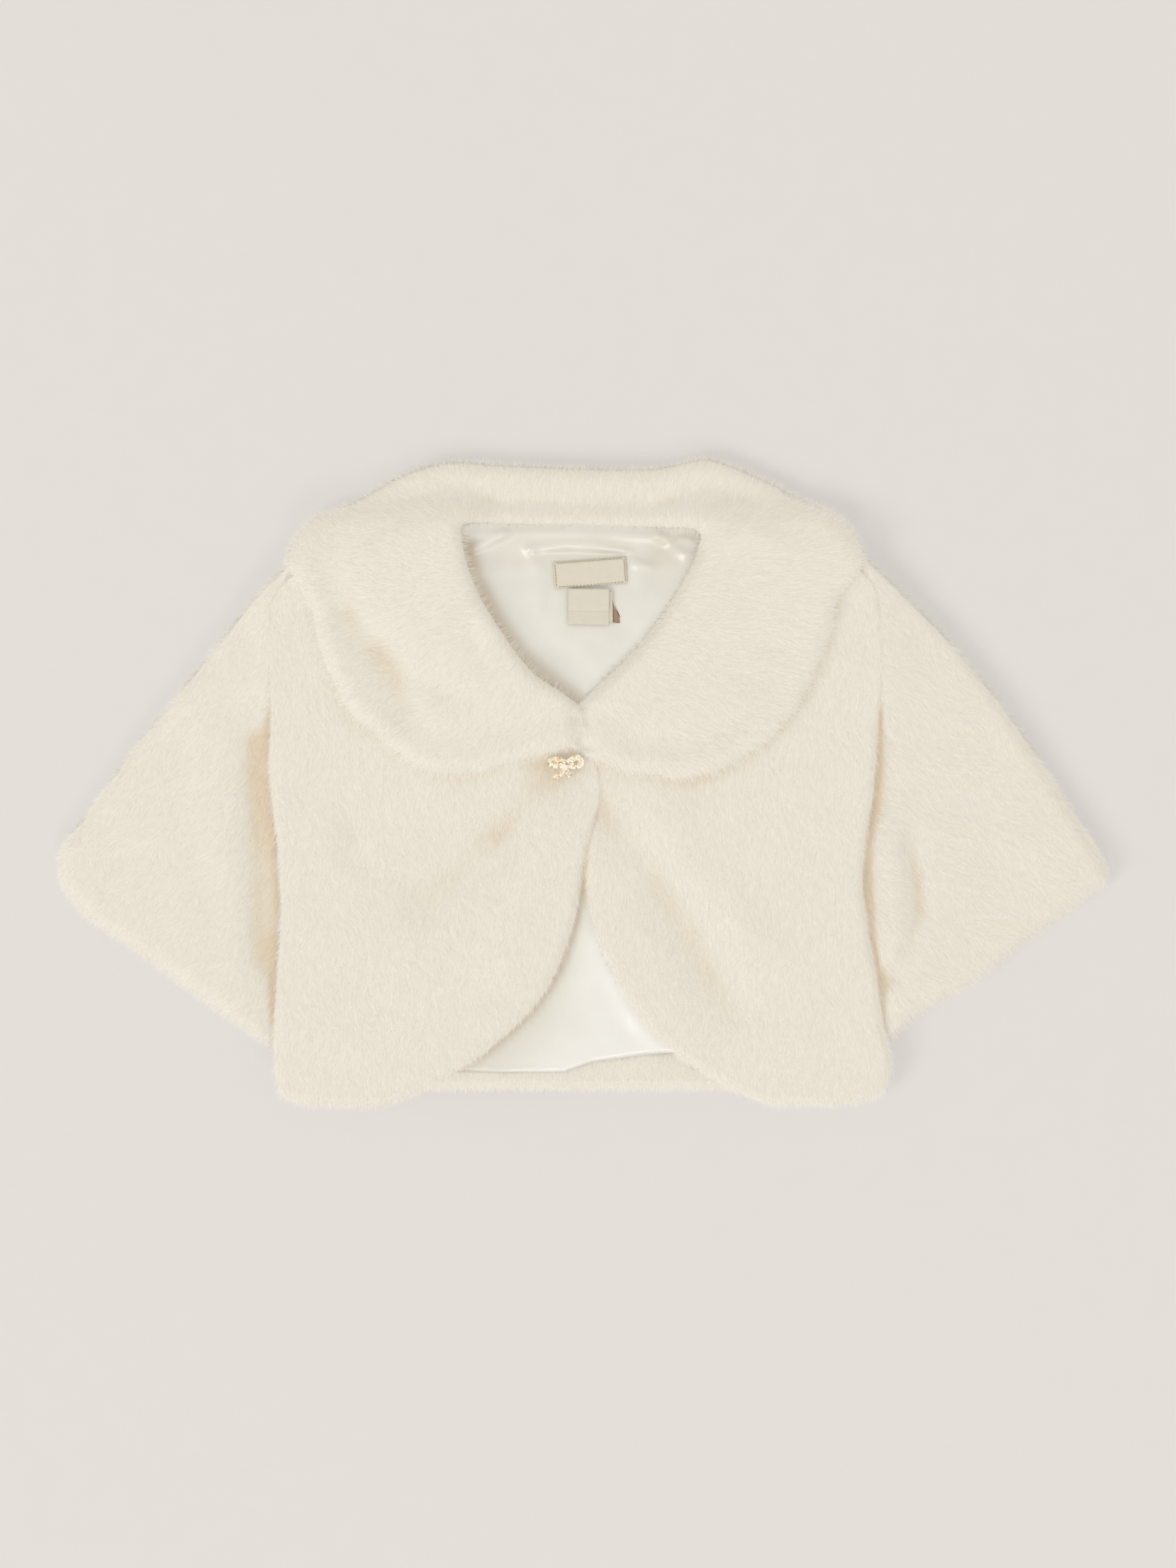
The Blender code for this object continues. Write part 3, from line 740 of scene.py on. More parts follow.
def sleeve_rings(rows, name, out, count=84, across=40):
    """Rings of a sleeve's backing, from its outer tip to the body.

    A ring starts at the cuff, runs over the top to the fold, back along the floor to the cuff, and then along
    the inside. In plan a point is (1 - t) of the cuff edge plus t of the fold edge, and the body edge's own
    curve is added in proportion as the body is reached.
    """
    edges = panel_edges(rows, (0.0, 0.0), 400)
    outer, body = (edges[:, :2], edges[:, 2:]) if out < 0 else (edges[:, 2:], edges[:, :2])
    tip = int(np.argmax(out * outer[:, 0]))
    run = unit(np.gradient(outer, axis=0))
    outer = outer + out * PILE * np.stack([run[:, 1], -run[:, 0]], 1)
    fold, cuff = evenly(outer[tip::-1], count), evenly(outer[tip:], count)
    under = out * (3.5 + 3.0 * smooth((body[::-1, 1] - 10.0) / 50.0))   # how far it goes under the front
    side = evenly(body[::-1] - np.column_stack([under, 0 * under]), across * 4)
    t = crowded(across)
    along_side = np.stack([np.interp(t, np.linspace(0, 1, len(side)), column) for column in side.T], 1)
    plan = (1 - t)[:, None] * cuff[:, None] + t[:, None] * fold[:, None]
    straight = (1 - t)[:, None] * cuff[-1] + t[:, None] * fold[-1]
    plan = plan + np.linspace(0.0, 1.0, count)[:, None, None] ** 2 * (along_side - straight)
    from_edge = distance_to(plan, np.concatenate([cuff[::-1], fold]))
    from_side = distance_to(plan, side)
    valley = 1.0 + 14.0 * (1 - smooth((plan[..., 1] - 5.0) / 60.0))
    form = np.minimum(rounded(from_edge, 9.0), 0.25 + 0.75 * rounded(from_side, valley))
    lift = SLEEVE_THICK + fold_height(plan, name) + SWELL * swell(plan, 60.0, len(name))
    lift = lift + 2.4 * smooth((plan[..., 1] - 10.0) / 60.0) * (1 - smooth(from_side / 30.0))
    top = np.dstack([plan, SLEEVE_ROOM[2] + lift * form])
    low = np.dstack([plan[:, ::-4], 0.5 + 2.2 * (1 - rounded(from_edge[:, ::-4], 4.0))])
    space = plan[:, 3::4]
    roof = np.dstack([space[:, ::-1], np.full(space.shape[:2], SLEEVE_ROOM[1])])
    ground = np.dstack([space, np.full(space.shape[:2], SLEEVE_ROOM[0])])
    rings = np.concatenate([top, low, ground, roof], 1)[2:]
    return (rings[::-1] if out > 0 else rings), across


grids["sleeve_left"] = sleeve_rings(SLEEVE_LEFT, "sleeve_left", -1.0)
grids["sleeve_right"] = sleeve_rings(SLEEVE_RIGHT, "sleeve_right", 1.0)
print("sleeves of", len(grids["sleeve_left"][0]), "rings")

# %% [markdown]
# ## Collar
#
# One wide piece, sewn to the neck edge. Its two ends lie on the fronts. Over the shoulders and behind
# the neck it stands up, turns over and falls flat under the back, so its rings take in a fold there.

# %% Collar backing
COLLAR_THICK = 5.6
NECK_RIGHT = np.array([(62.5, 130.0), (54.0, 113.0), (43.0, 96.0), (28.0, 76.0), (9.0, 58.0), (0.0, 48.0)])
FALL_SHARES = np.array([0.0, 0.0, 0.06, 0.5, 0.97, 1.0, 0.97, 0.5, 0.22])   # way from rim to fall's end
FALL_HEIGHTS = np.array([7.0, 4.0, 1.2, 0.6, 0.6, 1.4, 2.2, 2.2, 2.2])


def off_fronts(points):
    """How far points lie outside both fronts."""
    return np.minimum(past(points, FRONT_LOOPS[0]), past(points, FRONT_LOOPS[1]))


def collar_floor(points):
    """Underside of the collar: level on the fronts, and sinking past them to the back and to the fall.

    Along the right of the neck it sinks towards the lining.
    """
    below = FRONT_Z + 0.4 - (FRONT_Z - COLLAR_FALL - 0.2) * smooth((points[..., 1] - NECK_SEAM_Y - 2) / 14)
    lying = below + (COLLAR_Z - below) * (1 - smooth(off_fronts(points) / 30))
    return lying - 5.0 * (1 - smooth(distance_to(points, NECK_RIGHT) / 9.0)) * (points[..., 1] < 141.0)


def collar_rings(thick, count=176, across=44):
    """Rings of the collar's backing: over the top from neck to rim, round the fold and the fall, and back.

    The rim is a little ragged, with a swelling along it. Where the collar only lies on a front, the points of
    the fall close up under the rim.
    """
    edges = collar_edges(PILE, count)
    ragged = 1.3 * swell(edges[:, 2:], 15.0, 8) * smooth((135.0 - edges[:, 3]) / 20.0)
    edges[:, 2:] += ragged[:, None] * unit(edges[:, 2:] - edges[:, :2])
    neck, rim = edges[:, None, :2], edges[:, None, 2:]
    over = between(edges, crowded(across))
    from_rim = distance_to(over, edges[:, 2:])
    lift = thick + fold_height(over, "collar") + SWELL * swell(over, 60.0, 5)
    lift = lift + 0.9 * bell((from_rim - 8.0) / 6.0) - 0.8 * bell((from_rim - 22.0) / 7.0)
    over_z = collar_floor(over) + 1.0 + (lift - 1.0) * rounded(distance_to(over, loop_of(edges)), 8.0)
    under = over[:, ::-5]
    turned = smooth((edges[:, 3] + PILE - 133.0) / 12.0)[:, None, None]
    end = np.stack([rim[:, 0, 0] * 0.94, np.full(count, FALL_EDGE_Y + 1.0)], 1)[:, None]
    steps = len(FALL_HEIGHTS)
    fall = rim + FALL_SHARES[:, None] * (end - rim)
    down = np.dstack([fall, np.broadcast_to(FALL_HEIGHTS, (count, steps))])
    tucked = rim - np.linspace(0.0, 3.0, steps)[:, None] * unit(rim - neck)
    flat = np.dstack([tucked, collar_floor(tucked) + np.linspace(0.95, 0.45, steps)])
    folded = (1 - turned) * flat + turned * down
    back = np.dstack([under, collar_floor(under) + 0.4])
    return np.concatenate([np.dstack([over, over_z]), folded, back], 1), across


grids["collar"] = collar_rings(COLLAR_THICK)
skins = {node: shell(node + "_cloth", rings, BACKING) for node, (rings, tops) in grids.items()}
for cloth in skins.values():
    cloth.visible_diffuse = False   # deep fur glows: soft light goes through it, and only lamps throw shadows
print("backings:", ", ".join(skins))

# %% [markdown]
# ## Painted shade where the cloth lies in a hollow
#
# Creases and crevices get painted shade: the fur and its backing are made darker and warmer there,
# standing in for the shade that falls in them. So the fur needs to know how deep each root lies in its
# surroundings. All the backings are drawn into one map of heights, the map is blurred, once narrowly and
# once widely, and what lies below the blurred maps lies in a hollow.

# %% Map of heights
STEP = 1.5
LOW_CORNER = np.array([-330.0, -220.0])
COLLAR_SUNK = 3.0   # the collar counts as lower than it is, because it shades the fronts little


def map_cell(points):
    """Row and column of the map at points."""
    cell = ((points[..., :2] - LOW_CORNER) / STEP).astype(int)
    return cell[..., 0], cell[..., 1]


heights = np.zeros((440, 290))
for node, (rings, tops) in grids.items():
    fine = rings[:, :tops]
    fine = np.concatenate([(1 - s) * fine[:-1] + s * fine[1:] for s in np.linspace(0, 1, 4)])
    fine = np.concatenate([(1 - s) * fine[:, :-1] + s * fine[:, 1:] for s in np.linspace(0, 1, 8)], 1)
    np.maximum.at(heights, map_cell(fine), fine[..., 2] - COLLAR_SUNK * (node == "collar"))


def blurred(field, reach):
    """Mean of a field weighted by a bell curve reach millimetres wide, first along x and then along y."""
    half = int(3 * reach / STEP)
    weights = np.exp(-0.5 * (np.arange(-half, half + 1) * STEP / reach) ** 2)
    weights /= weights.sum()
    for axis in (0, 1):
        field = np.apply_along_axis(np.convolve, axis, field, weights, "same")
    return field


mean_height, wide_mean = blurred(heights, 7.0), blurred(heights, 15.0)


def painted_crease_shade(points):
    """0 on level cloth to 1 in a deep crease: how far points lie under the mean heights near and far.

    Near the floor it fades to 0, because there the pale card lights the pile. The result sets painted shade.
    """
    cell = map_cell(points)
    near, far = mean_height[cell] - points[..., 2], wide_mean[cell] - points[..., 2]
    deep = np.minimum(smooth((near - 0.5) / 3.2) + 0.65 * smooth((far - 0.2) / 3.0), 1.0)
    return deep * smooth((points[..., 2] - 2.5) / 3.0)


print("highest cloth at", round(heights.max(), 1), "mm")


# %% Painted shade of every backing
def keep(thing, name, values, domain="POINT"):
    """Give a mesh a number for each of its points or faces, which its material can read."""
    numbers = thing.data.attributes.new(name, "FLOAT", domain)
    numbers.data.foreach_set("value", values.astype(np.float32).ravel())


painted_shades = {node: painted_crease_shade(rings) for node, (rings, tops) in grids.items()}
collar_points = grids["collar"][0]
from_edge = distance_to(collar_points, loop_of(collar_edges(PILE, 160)))
painted_shades["collar"] = painted_crease_shade(collar_points - np.array([0.0, 0.0, COLLAR_SUNK])) * smooth((from_edge - 3.0) / 8.0)
painted_shades["back"] *= 0.2
left_rings, left_tops = grids["front_left"]
free_edge = slice(left_tops - 1, left_tops + 2)   # its lower part gets painted warm shade against the lining
painted_shades["front_left"][:, free_edge] = 0.8 * (1 - smooth((left_rings[:, free_edge, 1] + 60.0) / 40.0))
for node, deep in painted_shades.items():
    keep(skins[node], "depth", deep)
print("deepest hollows:", {node: round(float(deep.max()), 2) for node, deep in painted_shades.items()})


# %% Fur on every piece
def shown(node, covers=()):
    """1 where a grid is furred: its top, and its rim, where nothing lies on them."""
    rings, tops = grids[node]
    mask = np.zeros(rings.shape[:2])
    mask[:, :tops] = 1.0
    mask[:, -1] = 1.0
    for loop in covers:
        mask[within(rings, loop)] = 0.0
    return mask


HEM_TOP = -146.0   # the back is furred below this
DOWN = (0.0, -1.0, 0.0)
cover = loop_of(collar_edges(9.0, 160))
hem = shown("back", [panel_loop(FRONT_LEFT, 10.0), panel_loop(FRONT_RIGHT, 10.0)])
hem[grids["back"][0][:, :, 1] > HEM_TOP] = 0.0
over_collar = shown("collar")
over_collar[:, grids["collar"][1]:grids["collar"][1] + 2] = 1.0
FUR = {   # furred part, nap, number of fibres, their length
    "front_left": (shown("front_left", [cover]), DOWN, 45000, 6.4),
    "front_right": (shown("front_right", [cover]), DOWN, 43500, 6.4),
    "back": (hem, DOWN, 11000, 5.0),
    "sleeve_left": (shown("sleeve_left"), (-0.6, -0.8, 0.0), 32000, 6.4),
    "sleeve_right": (shown("sleeve_right"), (0.6, -0.8, 0.0), 32000, 6.4),
    "collar": (over_collar, "across", 44000, 6.6),
}
piles = {}
for number, (node, (furred, nap, count, length)) in enumerate(FUR.items()):
    rings, seed = grids[node][0], 11 * (1 + number)
    piles[node] = fur(node + "_fur", rings, furred, painted_shades[node], nap, count, length, IVORY_FUR, seed)

# %% [markdown]
# ## Satin lining
#
# The back is lined with satin, which shows in the neck and between the fronts at the hem. Satin is
# smooth and slack, so it takes small sharp folds where it is sewn to the neck and where its lower edge
# is turned under. It is a single grid given a thickness. Where fronts or labels press on it, it keeps
# flat.

# %% Lining sheet
FOLDS["lining"] = [
    (1, 2.6, [(-64, 140), (-30, 141), (18, 140), (62, 137)]),
    (2.4, 3.4, [(-28, 132), (-10, 134), (6, 134), (24, 130)]),
    (2.2, 3, [(-62, 132), (-52, 137), (-44, 140)]),
    (1.6, 3, [(-30, 131), (-24, 118), (-25, 98)]),
    (1.8, 2.8, [(24, 128), (31, 123), (38, 122)]),
    (1.8, 3, [(44, 139), (54, 131), (60, 128)]),
    (1.2, 3.4, [(32, 116), (30, 100), (22, 86)]),
    (0.7, 5, [(-14, 84), (2, 74), (12, 62)]),
    (1.5, 1.7, [(-70, -162), (-40, -163), (-10, -162.5)]),
    (0.9, 2.6, [(-6, -160), (20, -154), (56, -150)]),
    (0.8, 7, [(-2, -78), (2, -104), (-10, -140)]),
    (-0.6, 6, [(14, -92), (18, -116), (24, -140)]),
]
HEM_EDGE = np.array([
    (-200, -163.0), (-66, -163.4), (-10, -163.8), (5, -158.0), (28, -155.0), (51, -152.4), (200, -152),
])
LABEL_ZONE = np.array([
    (-17, 128), (26, 128), (26, 110), (20, 110), (20, 88), (-9, 88), (-9, 110), (-17, 110), (-17, 128),
], float)


def lining_points(count=124, across=88):
    """Grid over the lining: its level, its folds where nothing lies on it, and its rise to the seams."""
    plan = between(panel_edges(LINING, (0.0, 0.0), count), np.linspace(0, 1, across))
    hem_line = np.interp(plan[..., 0], *HEM_EDGE.T)
    plan[..., 1] += smooth((-100.0 - plan[..., 1]) / 60.0) * (hem_line + 160.0)
    x, y = plan[..., 0], plan[..., 1]
    bare, from_labels = off_fronts(plan), past(plan, LABEL_ZONE)
    free = smooth(bare / 5.0) * smooth(from_labels / 4.0)
    folds = fold_height(plan, "lining") + SWELL * swell(plan, 16.0, 91) + 0.25 * swell(plan, 38.0, 92)
    slack = np.exp(-(((x + 2.0) / 27.0) ** 4)) + 0.8 * bell((x + 55.0) / 9.0)
    up_to_seam = (2.0 + 1.2 * slack) * smooth((y - 127.0) / 16.0)
    up_to_right = 5.0 * (1 - smooth(distance_to(plan, NECK_RIGHT) / 20.0)) * (y > 40.0)
    up_to_front = 2.5 * (1 - smooth(distance_to(plan, FRONT_LOOPS[1]) / 14.0)) * (y < -20.0)
    rise = np.maximum(up_to_seam, up_to_right) + up_to_front
    rise = rise * smooth((bare + 1.5) / 3.0) * smooth(from_labels / 9.0)
    sunk = 1.6 * smooth((7.0 - (y - hem_line)) / 7.0)
    return np.dstack([plan, LINING_Z + 0.5 + free * (folds + 0.5 - sunk) + rise])


# %% Satin
# Painted shade tones for the satin: cream where lightly shaded, brown in the painted shadows of the collar
# and the fronts.
PAINTED_SATIN_SHADE_TONES = [(0.0, (1.0, 1.0, 1.0)), (0.33, (0.893, 0.888, 0.838)), (1.0, (0.66, 0.555, 0.44))]
start = blank("ivory_satin")
place = start.place()
threads = start.waves(place, "DIAGONAL", 900.0, 0.6, 1.0)
cloud = start.noise(place, 70.0, 3.0).mix((0.80, 0.777, 0.71), (0.86, 0.842, 0.785))
satin_with_painted_shade = cloud.tinted(start.kept("depth").ramp(PAINTED_SATIN_SHADE_TONES))
SATIN = finish("ivory_satin", satin_with_painted_shade, 0.33 + 0.12 * threads, threads.bump(0.12, 0.0002),
               **{"Specular IOR Level": 1.0, "Coat Weight": 1.0, "Coat Roughness": 0.26})

SATIN_THICK = 0.35
TURNED_OVER = [0, 3, 2, 1]   # a face's corners the other way round
grid = lining_points()
faces = quads(numbered(*grid.shape[:2]), False)[:, TURNED_OVER]
skins["lining"] = mesh_object("lining_cloth", grid, faces.tolist(), SATIN)
wall = skins["lining"].modifiers.new("thickness", "SOLIDIFY")
wall.thickness, wall.offset = SATIN_THICK * MM, -1.0
print("lining", len(faces), "faces")

# %% Painted shade on the satin
NECK_LEFT = np.array([
    (-2.0, 46.0), (-13.0, 54.0), (-34.0, 72.0), (-49.0, 94.0), (-60.0, 115.0), (-65.0, 133.0),
])
x, y, z = grid[..., 0], grid[..., 1], grid[..., 2]
# Painted shade: darker under the higher layers round it, over the whole neck, in a band below the neck seam
# and on the flap at the right. The left collar edge and the left front get painted shadows beside them.
painted_satin_shade = 0.4 * smooth((blurred(heights, 4.0)[map_cell(grid)] - z - 0.5) / 6.0)
flap_shade = smooth((x - 32.0) / 8.0) * smooth((y - 100.0) / 10.0)
seam_band_shade = smooth((y - 78.0) / 26.0) + smooth((y - 116.0) / 10.0)
collar_shadow = 1 - smooth(distance_to(grid, NECK_LEFT) / 9.0)
painted_satin_shade += smooth((y - 20.0) / 20.0) * (0.18 + 0.1 * seam_band_shade + 0.1 * flap_shade + 0.66 * collar_shadow)
from_front = distance_to(grid, FRONT_LOOPS[0])
shade_reach = 20.0 + 18.0 * smooth((-110.0 - y) / 35.0)
front_shadow = 0.5 * (1 - smooth(from_front / shade_reach)) + 0.6 * (1 - smooth(from_front / 8.0))
painted_satin_shade += (y < 0.0) * front_shadow
keep(skins["lining"], "depth", painted_satin_shade.clip(0, 1))
print("mean shade on the satin", round(float(painted_satin_shade.mean()), 2))

# %% [markdown]
# ## Labels and sewing
#
# A woven label is sewn in at the neck with a small tab under it, and behind the tab a folded strip
# whose inside shows, painted dark brown as shade. All are bare. Each is a grid in the label's own width
# and height, bent a little, since a ribbon never lies quite flat. Stitches are short tubes. Many of them
# make one mesh.


# %% Woven labels
def label_rings(middle, width, height, low, turn, bend, scallop=0.0, thick=0.55, count=72, across=20):
    """Rings of a ribbon, one for each step of its width: up over the face and back underneath.

    The face is at low plus thick plus bend(u, v), with u and v from -1 to 1 across the label. The lower edge
    moves by scallop times a wave, as left by a hot cutter.
    """
    u, v = np.linspace(-1, 1, count)[:, None], np.linspace(-1, 1, across)[None]
    x = np.broadcast_to(u * width / 2, (count, across))
    y = v * height / 2 + (v < 0) * v**4 * scallop * np.sin(u * width * 1.45)
    ends = (np.abs(u) < 0.999) * (np.abs(v) < 0.999)
    face = low + thick * (0.55 + 0.45 * ends) + bend(u, v)
    under = low + thick * (0.45 - 0.45 * ends) + bend(u, v)
    cos, sin = math.cos(turn), math.sin(turn)
    plan = np.dstack([middle[0] + cos * x - sin * y, middle[1] + sin * x + cos * y])
    return np.concatenate([np.dstack([plan, face]), np.dstack([plan, under])[:, ::-1]], 1)


def woven(name, middle, turn, width, height, low, high, edge, fold):
    """Ribbon weave: ribs across it, rows of thread along it, a darker selvedge, and painted shade on a fold
    line at a height and below it.
    """
    start = blank(name)
    inputs = {"Location": (middle[0] * MM, middle[1] * MM, 0.0), "Rotation": (0.0, 0.0, turn)}
    own = start.node("Mapping", {"vector_type": "TEXTURE"}, {"Vector": start.place(), **inputs})
    weave = start.waves(own, "X", 520.0, 0.3) * start.waves(own, "Y", 640.0, 0.3)
    worn = start.noise(own, 240.0, 4.0)
    wide = start.node("SeparateXYZ", None, {0: own})
    tall = Wire(start.tree, wide.socket.node.outputs[1])
    inset_x = start.math("ABSOLUTE", wide) * (1000.0 / (width / 2))
    inset_y = start.math("ABSOLUTE", tall) * (1000.0 / (height / 2))
    rim = start.math("MAXIMUM", start.math("GREATER_THAN", inset_x, 1 - 1.6 / width),
                     start.math("GREATER_THAN", inset_y, 1 - 1.3 / height))
    cloth = (weave * 0.55 + worn * 0.45).mix(low, high)
    # Painted shade: a dark line on the fold and a darker part below it, where the ribbon turns under. The
    # selvedge is its own darker colour.
    crease = start.math("LESS_THAN", start.math("ABSOLUTE", tall - fold * MM), 0.00028)
    below = start.math("LESS_THAN", tall, fold * MM)
    selvedge_and_fold_shade = start.math("MAXIMUM", rim * 0.12, start.math("MAXIMUM", crease * 0.45, below * 0.14))
    return finish(name, selvedge_and_fold_shade.mix(cloth, edge), 0.75 + 0.15 * worn, weave.bump(0.35, 0.0003))


NO_FOLD = -9.0   # below the label
TAPE_MIDDLE, TAPE_WIDE, TAPE_HIGH, TAPE_TURN = (4.4, 118.6), 41.2, 14.8, 0.077
TAPE = woven("label_tape", TAPE_MIDDLE, TAPE_TURN, TAPE_WIDE, TAPE_HIGH,
             (0.68, 0.63, 0.51), (0.82, 0.766, 0.633), (0.59, 0.53, 0.42), NO_FOLD)
rings = label_rings(TAPE_MIDDLE, TAPE_WIDE, TAPE_HIGH, 7.4, TAPE_TURN,
                    lambda u, v: 0.35 * (1 - u * u) * (0.4 - 0.6 * v), 0.3)
skins["neck_label"] = shell("neck_label_cloth", rings, TAPE)

TAB_MIDDLE, TAB_HIGH = (3.6, 99.4), 20.4
TAB = woven("label_tab", TAB_MIDDLE, 0.0, 23.4, TAB_HIGH,
            (0.67, 0.622, 0.512), (0.80, 0.763, 0.635), (0.61, 0.55, 0.44), -2.6)
rings = label_rings(TAB_MIDDLE, 23.2, TAB_HIGH, 8.5, -0.01,
                    lambda u, v: 0.45 * smooth((v + 0.2 - 0.03 * u) / 0.06) + 0.1 * v)
skins["size_label"] = shell("size_label_cloth", rings, TAB)
print("neck label", TAPE_WIDE, "by", TAPE_HIGH, "mm")


# %% Folded strip behind the tab
def strip_rings(middle, width, height, low, gap, thick=0.4, count=36):
    """Rings of a ribbon folded back under itself: a hairpin in side view, carried across the label's width.

    The lower layer comes out to the right towards the fold, so its inside shows there.
    """
    u, v = np.linspace(-1, 1, count)[:, None], np.linspace(1, -1, 14)
    bend = np.linspace(np.pi / 2, -np.pi / 2, 9)
    half = gap / 2
    axis = low + half

    def hairpin(radius):
        """One face in side view: along the upper layer, round the fold and back along the lower layer."""
        y = np.concatenate([v * height / 2, -height / 2 - radius * np.cos(bend), v[::-1] * height / 2])
        level = np.full(len(v), radius)
        return y, axis + np.concatenate([level, radius * np.sin(bend), -level])

    (outer_y, outer_z), (inner_y, inner_z) = hairpin(half), hairpin(half - thick)
    y, z = np.concatenate([outer_y, inner_y[::-1]]), np.concatenate([outer_z, inner_z[::-1]])
    lower = smooth((axis + 0.4 - z) / 0.8) * smooth((0.25 - y / height) / 0.7)
    x = middle[0] + u * width / 2 + (u + 1) / 2 * 4.6 * lower
    rings = np.dstack([x, np.broadcast_to(middle[1] + y, x.shape), np.broadcast_to(z, x.shape)])
    return rings[::-1], len(outer_y)


# Painted shade: the strip's inside is dark brown, standing in for the shadow within the fold.
start = blank("strip_inside_painted_shade")
speck = start.noise(start.place(), 900.0, 3.0)
PAINTED_SHADE_INSIDE = finish("strip_inside_painted_shade", speck.mix((0.31, 0.19, 0.105), (0.42, 0.27, 0.16)), 0.6)
rings, outside = strip_rings((5.0, 99.6), 24.0, 17.6, 7.2, 1.25)
skins["care_label"] = shell("care_label_cloth", rings, TAB)
strip = skins["care_label"].data
strip.materials.append(PAINTED_SHADE_INSIDE)
ring = np.arange((len(rings) - 1) * rings.shape[1]) % rings.shape[1]
slots = np.zeros(len(strip.polygons), np.int32)
slots[:len(ring)] = (ring >= outside) & (ring < rings.shape[1] - 1)
strip.polygons.foreach_set("material_index", slots)
print("strip:", int(slots.sum()), "faces on its inside")


# %% Stitches
def tubes(paths, radius, sides=7):
    """Points and faces of closed tubes, all with as many points: a circle carried along each path.

    The circle's axes are the level line square to the path, and the cross product of that with the path.
    """
    paths = np.asarray(paths, float)
    run = unit(np.gradient(paths, axis=1))
    level = unit(np.cross(run, np.array([0.0, 0.0, 1.0]) + 1e-4))
    rise = np.cross(level, run)
    turn = np.linspace(0, 2 * np.pi, sides, endpoint=False)[:, None]
    radius = np.broadcast_to(radius, paths.shape[:2])[:, :, None, None]
    ring = paths[:, :, None] + radius * (np.cos(turn) * level[:, :, None] + np.sin(turn) * rise[:, :, None])
    k = numbered(*paths.shape[:2], sides)
    return ring.reshape(-1, 3), quads(k)[:, TURNED_OVER].tolist() + k[:, 0].tolist() + k[:, -1, ::-1].tolist()


def stitch_paths(line, count, length, high):
    """Short arcs along a line: level steps of it, lifted in the middle and sunk at both ends."""
    at = (np.arange(count) + 0.5) / count
    s = np.linspace(-0.5, 0.5, 7)
    run = line[1] - line[0]
    step = length / np.linalg.norm(run[:2])
    plan = line[0] + (at[:, None] + step * s)[:, :, None] * run
    plan[:, :, 2] += high * (1 - (2 * s) ** 2) - 0.25
    return plan


def thread(name, low, high):
    """Twisted thread: slanting bands of two tones."""
    start = blank(name)
    return finish(name, start.waves(start.place(), "DIAGONAL", 1500.0).mix(low, high), 0.6)


cos, sin = math.cos(TAPE_TURN), math.sin(TAPE_TURN)
turned = np.array([(cos, sin, 0.0), (-sin, cos, 0.0), (0.0, 0.0, 1.0)])
SEAMS = [   # ends on the label, and number of stitches
    ((-19.6, -6.4), (-19.6, 6.4), 7), ((19.6, -6.4), (19.6, 6.4), 7),
    ((-18.6, -6.7), (18.6, -6.7), 19), ((-18.6, 6.7), (18.6, 6.7), 19),
]
paths = np.concatenate([
    stitch_paths(np.array([(*a, 0.0), (*b, 0.0)]) @ turned + np.array([*TAPE_MIDDLE, 8.2]), count, 1.45, 0.35)
    for a, b, count in SEAMS
])
LABEL_THREAD = thread("label_thread", (0.42, 0.33, 0.21), (0.58, 0.47, 0.32))
stitches = mesh_object("neck_label_stitches", *tubes(paths, 0.2), LABEL_THREAD)

tack = [[
    (61.6, -157.6, 9.0), (61.2, -160.2, 9.8), (61.8, -162.0, 9.9), (63.6, -162.4, 10.0), (66.2, -161.6, 10.0),
    (68.6, -161.9, 9.2),
]]
HEM_THREAD = thread("hem_thread", (0.66, 0.58, 0.44), (0.78, 0.70, 0.56))
tack_thread = mesh_object("hem_tack", *tubes(tack, 0.3), HEM_THREAD)
print(len(paths), "stitches round the label")

# %% [markdown]
# ## Bow clasp
#
# The fronts meet under a small gilt bow set with crystals: two loops, a knot and two tails. Loops and
# tails are paths, each followed by a round tube with rows of stones on top. The knot is a bead. A stone
# is a small brilliant: a flat table, a ring of facets and a point underneath.

# %% Gilt bow
BOW_MIDDLE = np.array([-8.8, 10.6, 18.8])


def loop_path(reach, wide, turn, count=40):
    """Closed teardrop from the knot: reach times a power of the sine of half the turn, widest far out."""
    a = np.linspace(0, 2 * np.pi, count, endpoint=False)
    x = reach * np.sin(a / 2) ** 1.3
    y = wide * np.sin(a) * (0.55 + 0.45 * np.sin(a / 2))
    z = 0.7 * np.sin(a / 2)
    path = np.stack([math.cos(turn) * x - math.sin(turn) * y, math.sin(turn) * x + math.cos(turn) * y, z], 1)
    return BOW_MIDDLE + np.concatenate([path, path[:1]])


def tail_path(end, sway, count=24):
    """Arc from the knot to the tail's end, bowed sideways by sway."""
    t = np.linspace(0, 1, count)[:, None]
    end = np.array(end, float)
    side = np.array([-end[1], end[0], 0.0]) / np.linalg.norm(end[:2])
    return BOW_MIDDLE + (t * end + sway * np.sin(np.pi * t) * side)


def joined(parts):
    """Points and faces of parts as one: the faces of each count on from the points before it."""
    points, faces = [], []
    for part_points, part_faces in parts:
        shift = sum(map(len, points))
        points.append(part_points)
        faces += [[i + shift for i in face] for face in part_faces]
    return np.concatenate(points), faces


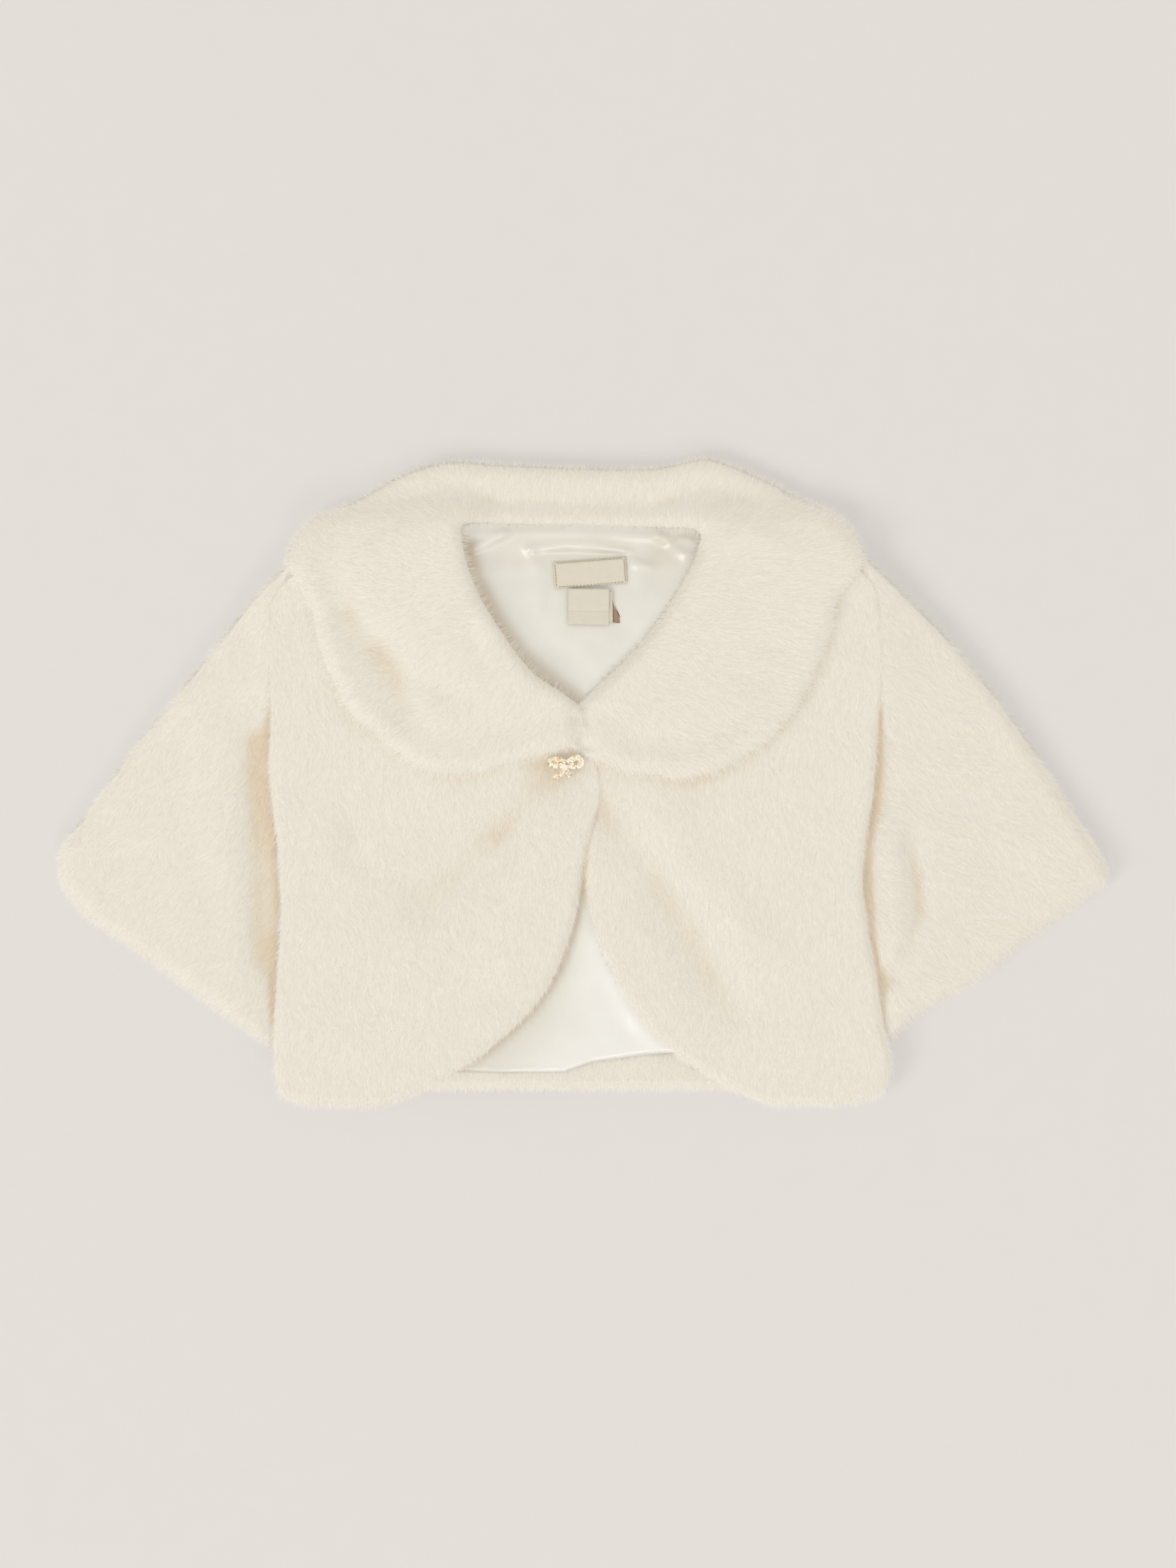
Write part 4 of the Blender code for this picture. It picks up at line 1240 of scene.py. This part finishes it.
loops = [loop_path(9.2, 1.9, math.pi - 0.12), loop_path(8.2, 2.7, 0.18)]
tails = [tail_path((-6.6, -8.0, -0.7), 1.0), tail_path((2.0, -6.8, -0.6), -0.8)]
parts = [tubes(path[None], 1.5, 9) for path in loops]
parts += [tubes(path[None], np.linspace(1.4, 1.2, len(path)), 9) for path in tails]
around, high = np.linspace(0, 2 * np.pi, 20, endpoint=False), np.linspace(-1, 1, 9)[:, None]
knot_ring = np.sqrt(1 - 0.9 * high**2)
knot = np.dstack([
    1.9 * knot_ring * np.cos(around), 2.3 * knot_ring * np.sin(around), np.broadcast_to(1.5 * high, (9, 20)),
])
parts.append(skin(BOW_MIDDLE + np.array([0, 0, 0.3]) + knot))

start = blank("gilt")
rub = start.noise(start.place(), 700.0, 4.0)
gold = rub.mix((0.86, 0.69, 0.42), (0.97, 0.83, 0.58))
GILT = finish("gilt", gold, 0.18 + 0.2 * rub, rub.bump(0.2, 0.0002), Metallic=1.0)
skins["bow_clasp"] = mesh_object("bow_clasp_metal", *joined(parts), GILT)
print("bow of", len(parts), "parts")


# %% Crystals
def stones(places, size, seed):
    """Brilliants at places: eight-sided table, girdle and point, each turned and tilted at random."""
    rng = np.random.default_rng(seed)
    i = np.arange(8)
    ring = np.stack([np.cos(i * np.pi / 4), np.sin(i * np.pi / 4)], 1)
    table, girdle = np.column_stack([0.55 * ring, np.full(8, 0.5)]), np.column_stack([ring, np.full(8, 0.12)])
    shape = np.concatenate([table, girdle, [(0.0, 0.0, -0.7)]])
    spin, tilt_x, tilt_y = rng.uniform(0, np.pi, len(places)), *rng.normal(0, 0.22, (2, len(places)))
    cos, sin = np.cos(spin)[:, None], np.sin(spin)[:, None]
    x = cos * shape[:, 0] - sin * shape[:, 1]
    y = sin * shape[:, 0] + cos * shape[:, 1]
    z = shape[:, 2] + tilt_x[:, None] * x + tilt_y[:, None] * y
    points = places[:, None] + size * rng.uniform(0.85, 1.1, (len(places), 1, 1)) * np.stack([x, y, z], -1)
    j = (i + 1) % 8
    corners = ((i, i + 8, j + 8), (i, j + 8, j), (i + 8, np.full(8, 16), j + 8))
    facets = np.concatenate([np.stack(three, 1) for three in corners])
    shift = 17 * np.arange(len(places))[:, None]
    faces = (facets[None] + shift[:, :, None]).reshape(-1, 3).tolist() + (i[None] + shift).tolist()
    return points.reshape(-1, 3), faces


def beside(path, way):
    """Path moved sideways by way: along the level line square to it."""
    return path + way * unit(np.cross(np.gradient(path, axis=0), np.array([0.0, 0.0, 1.0])))


rows = [
    evenly(beside(loop, way), count + 1)[1:-1]
    for loop in loops for way, count in ((1.05, 10), (0.0, 15), (-1.05, 20))
]
rows += [
    evenly(beside(tail, way), count + 2)[2:]
    for tail, count in zip(tails, (8, 6)) for way in (0.75, -0.75)
]
on_knot = [(0.0, 0.0, 1.75), (-0.9, 1.3, 1.45), (0.9, -1.2, 1.45), (0.9, 1.2, 1.45), (-0.8, -1.3, 1.45)]
places = np.concatenate([np.concatenate(rows) + np.array([0, 0, 1.1]), BOW_MIDDLE + np.array(on_knot)])

start = blank("crystal")
# Painted glints: each stone, and each facet a little, gets a colour from dark brown to white, standing in for
# sparkle.
painted_sparkle = start.kept("glint").ramp([
    (0.0, (0.36, 0.21, 0.08)), (0.25, (0.78, 0.58, 0.30)), (0.5, (0.95, 0.86, 0.68)), (1.0, (1.0, 1.0, 0.98)),
])
CRYSTAL = finish("crystal", painted_sparkle, 0.08, **{"IOR": 1.7, "Coat Weight": 1.0, "Coat Roughness": 0.03})
crystals = mesh_object("bow_clasp_crystals", *stones(places, 0.8, 8), CRYSTAL, False)
rng = np.random.default_rng(5)
# Painted glint level: random for each stone, and a little more for each facet.
stone = np.concatenate([np.repeat(np.arange(len(places)), 24), np.arange(len(places))])   # stone of each face
painted_glint_level = 0.75 * rng.random(len(places))[stone] + 0.35 * rng.random(len(stone)) - 0.05
keep(crystals, "glint", painted_glint_level.clip(0, 1), "FACE")
print(len(places), "stones")

# %% [markdown]
# ## Cloth in place of the solids
#
# Each cloth stands for its solid, which is hidden.

# %% Pieces for nodes
SLOTS = {
    "lining": "lining_satin", "neck_label": "neck_label_woven", "size_label": "size_label_woven",
    "care_label": "care_label_woven", "bow_clasp": "bow_clasp_gold",
}
for node, piece in skins.items():
    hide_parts(node)
    SLOTS.get(node, node + "_fur")
for node, pile in piles.items():
    node + "_fur"
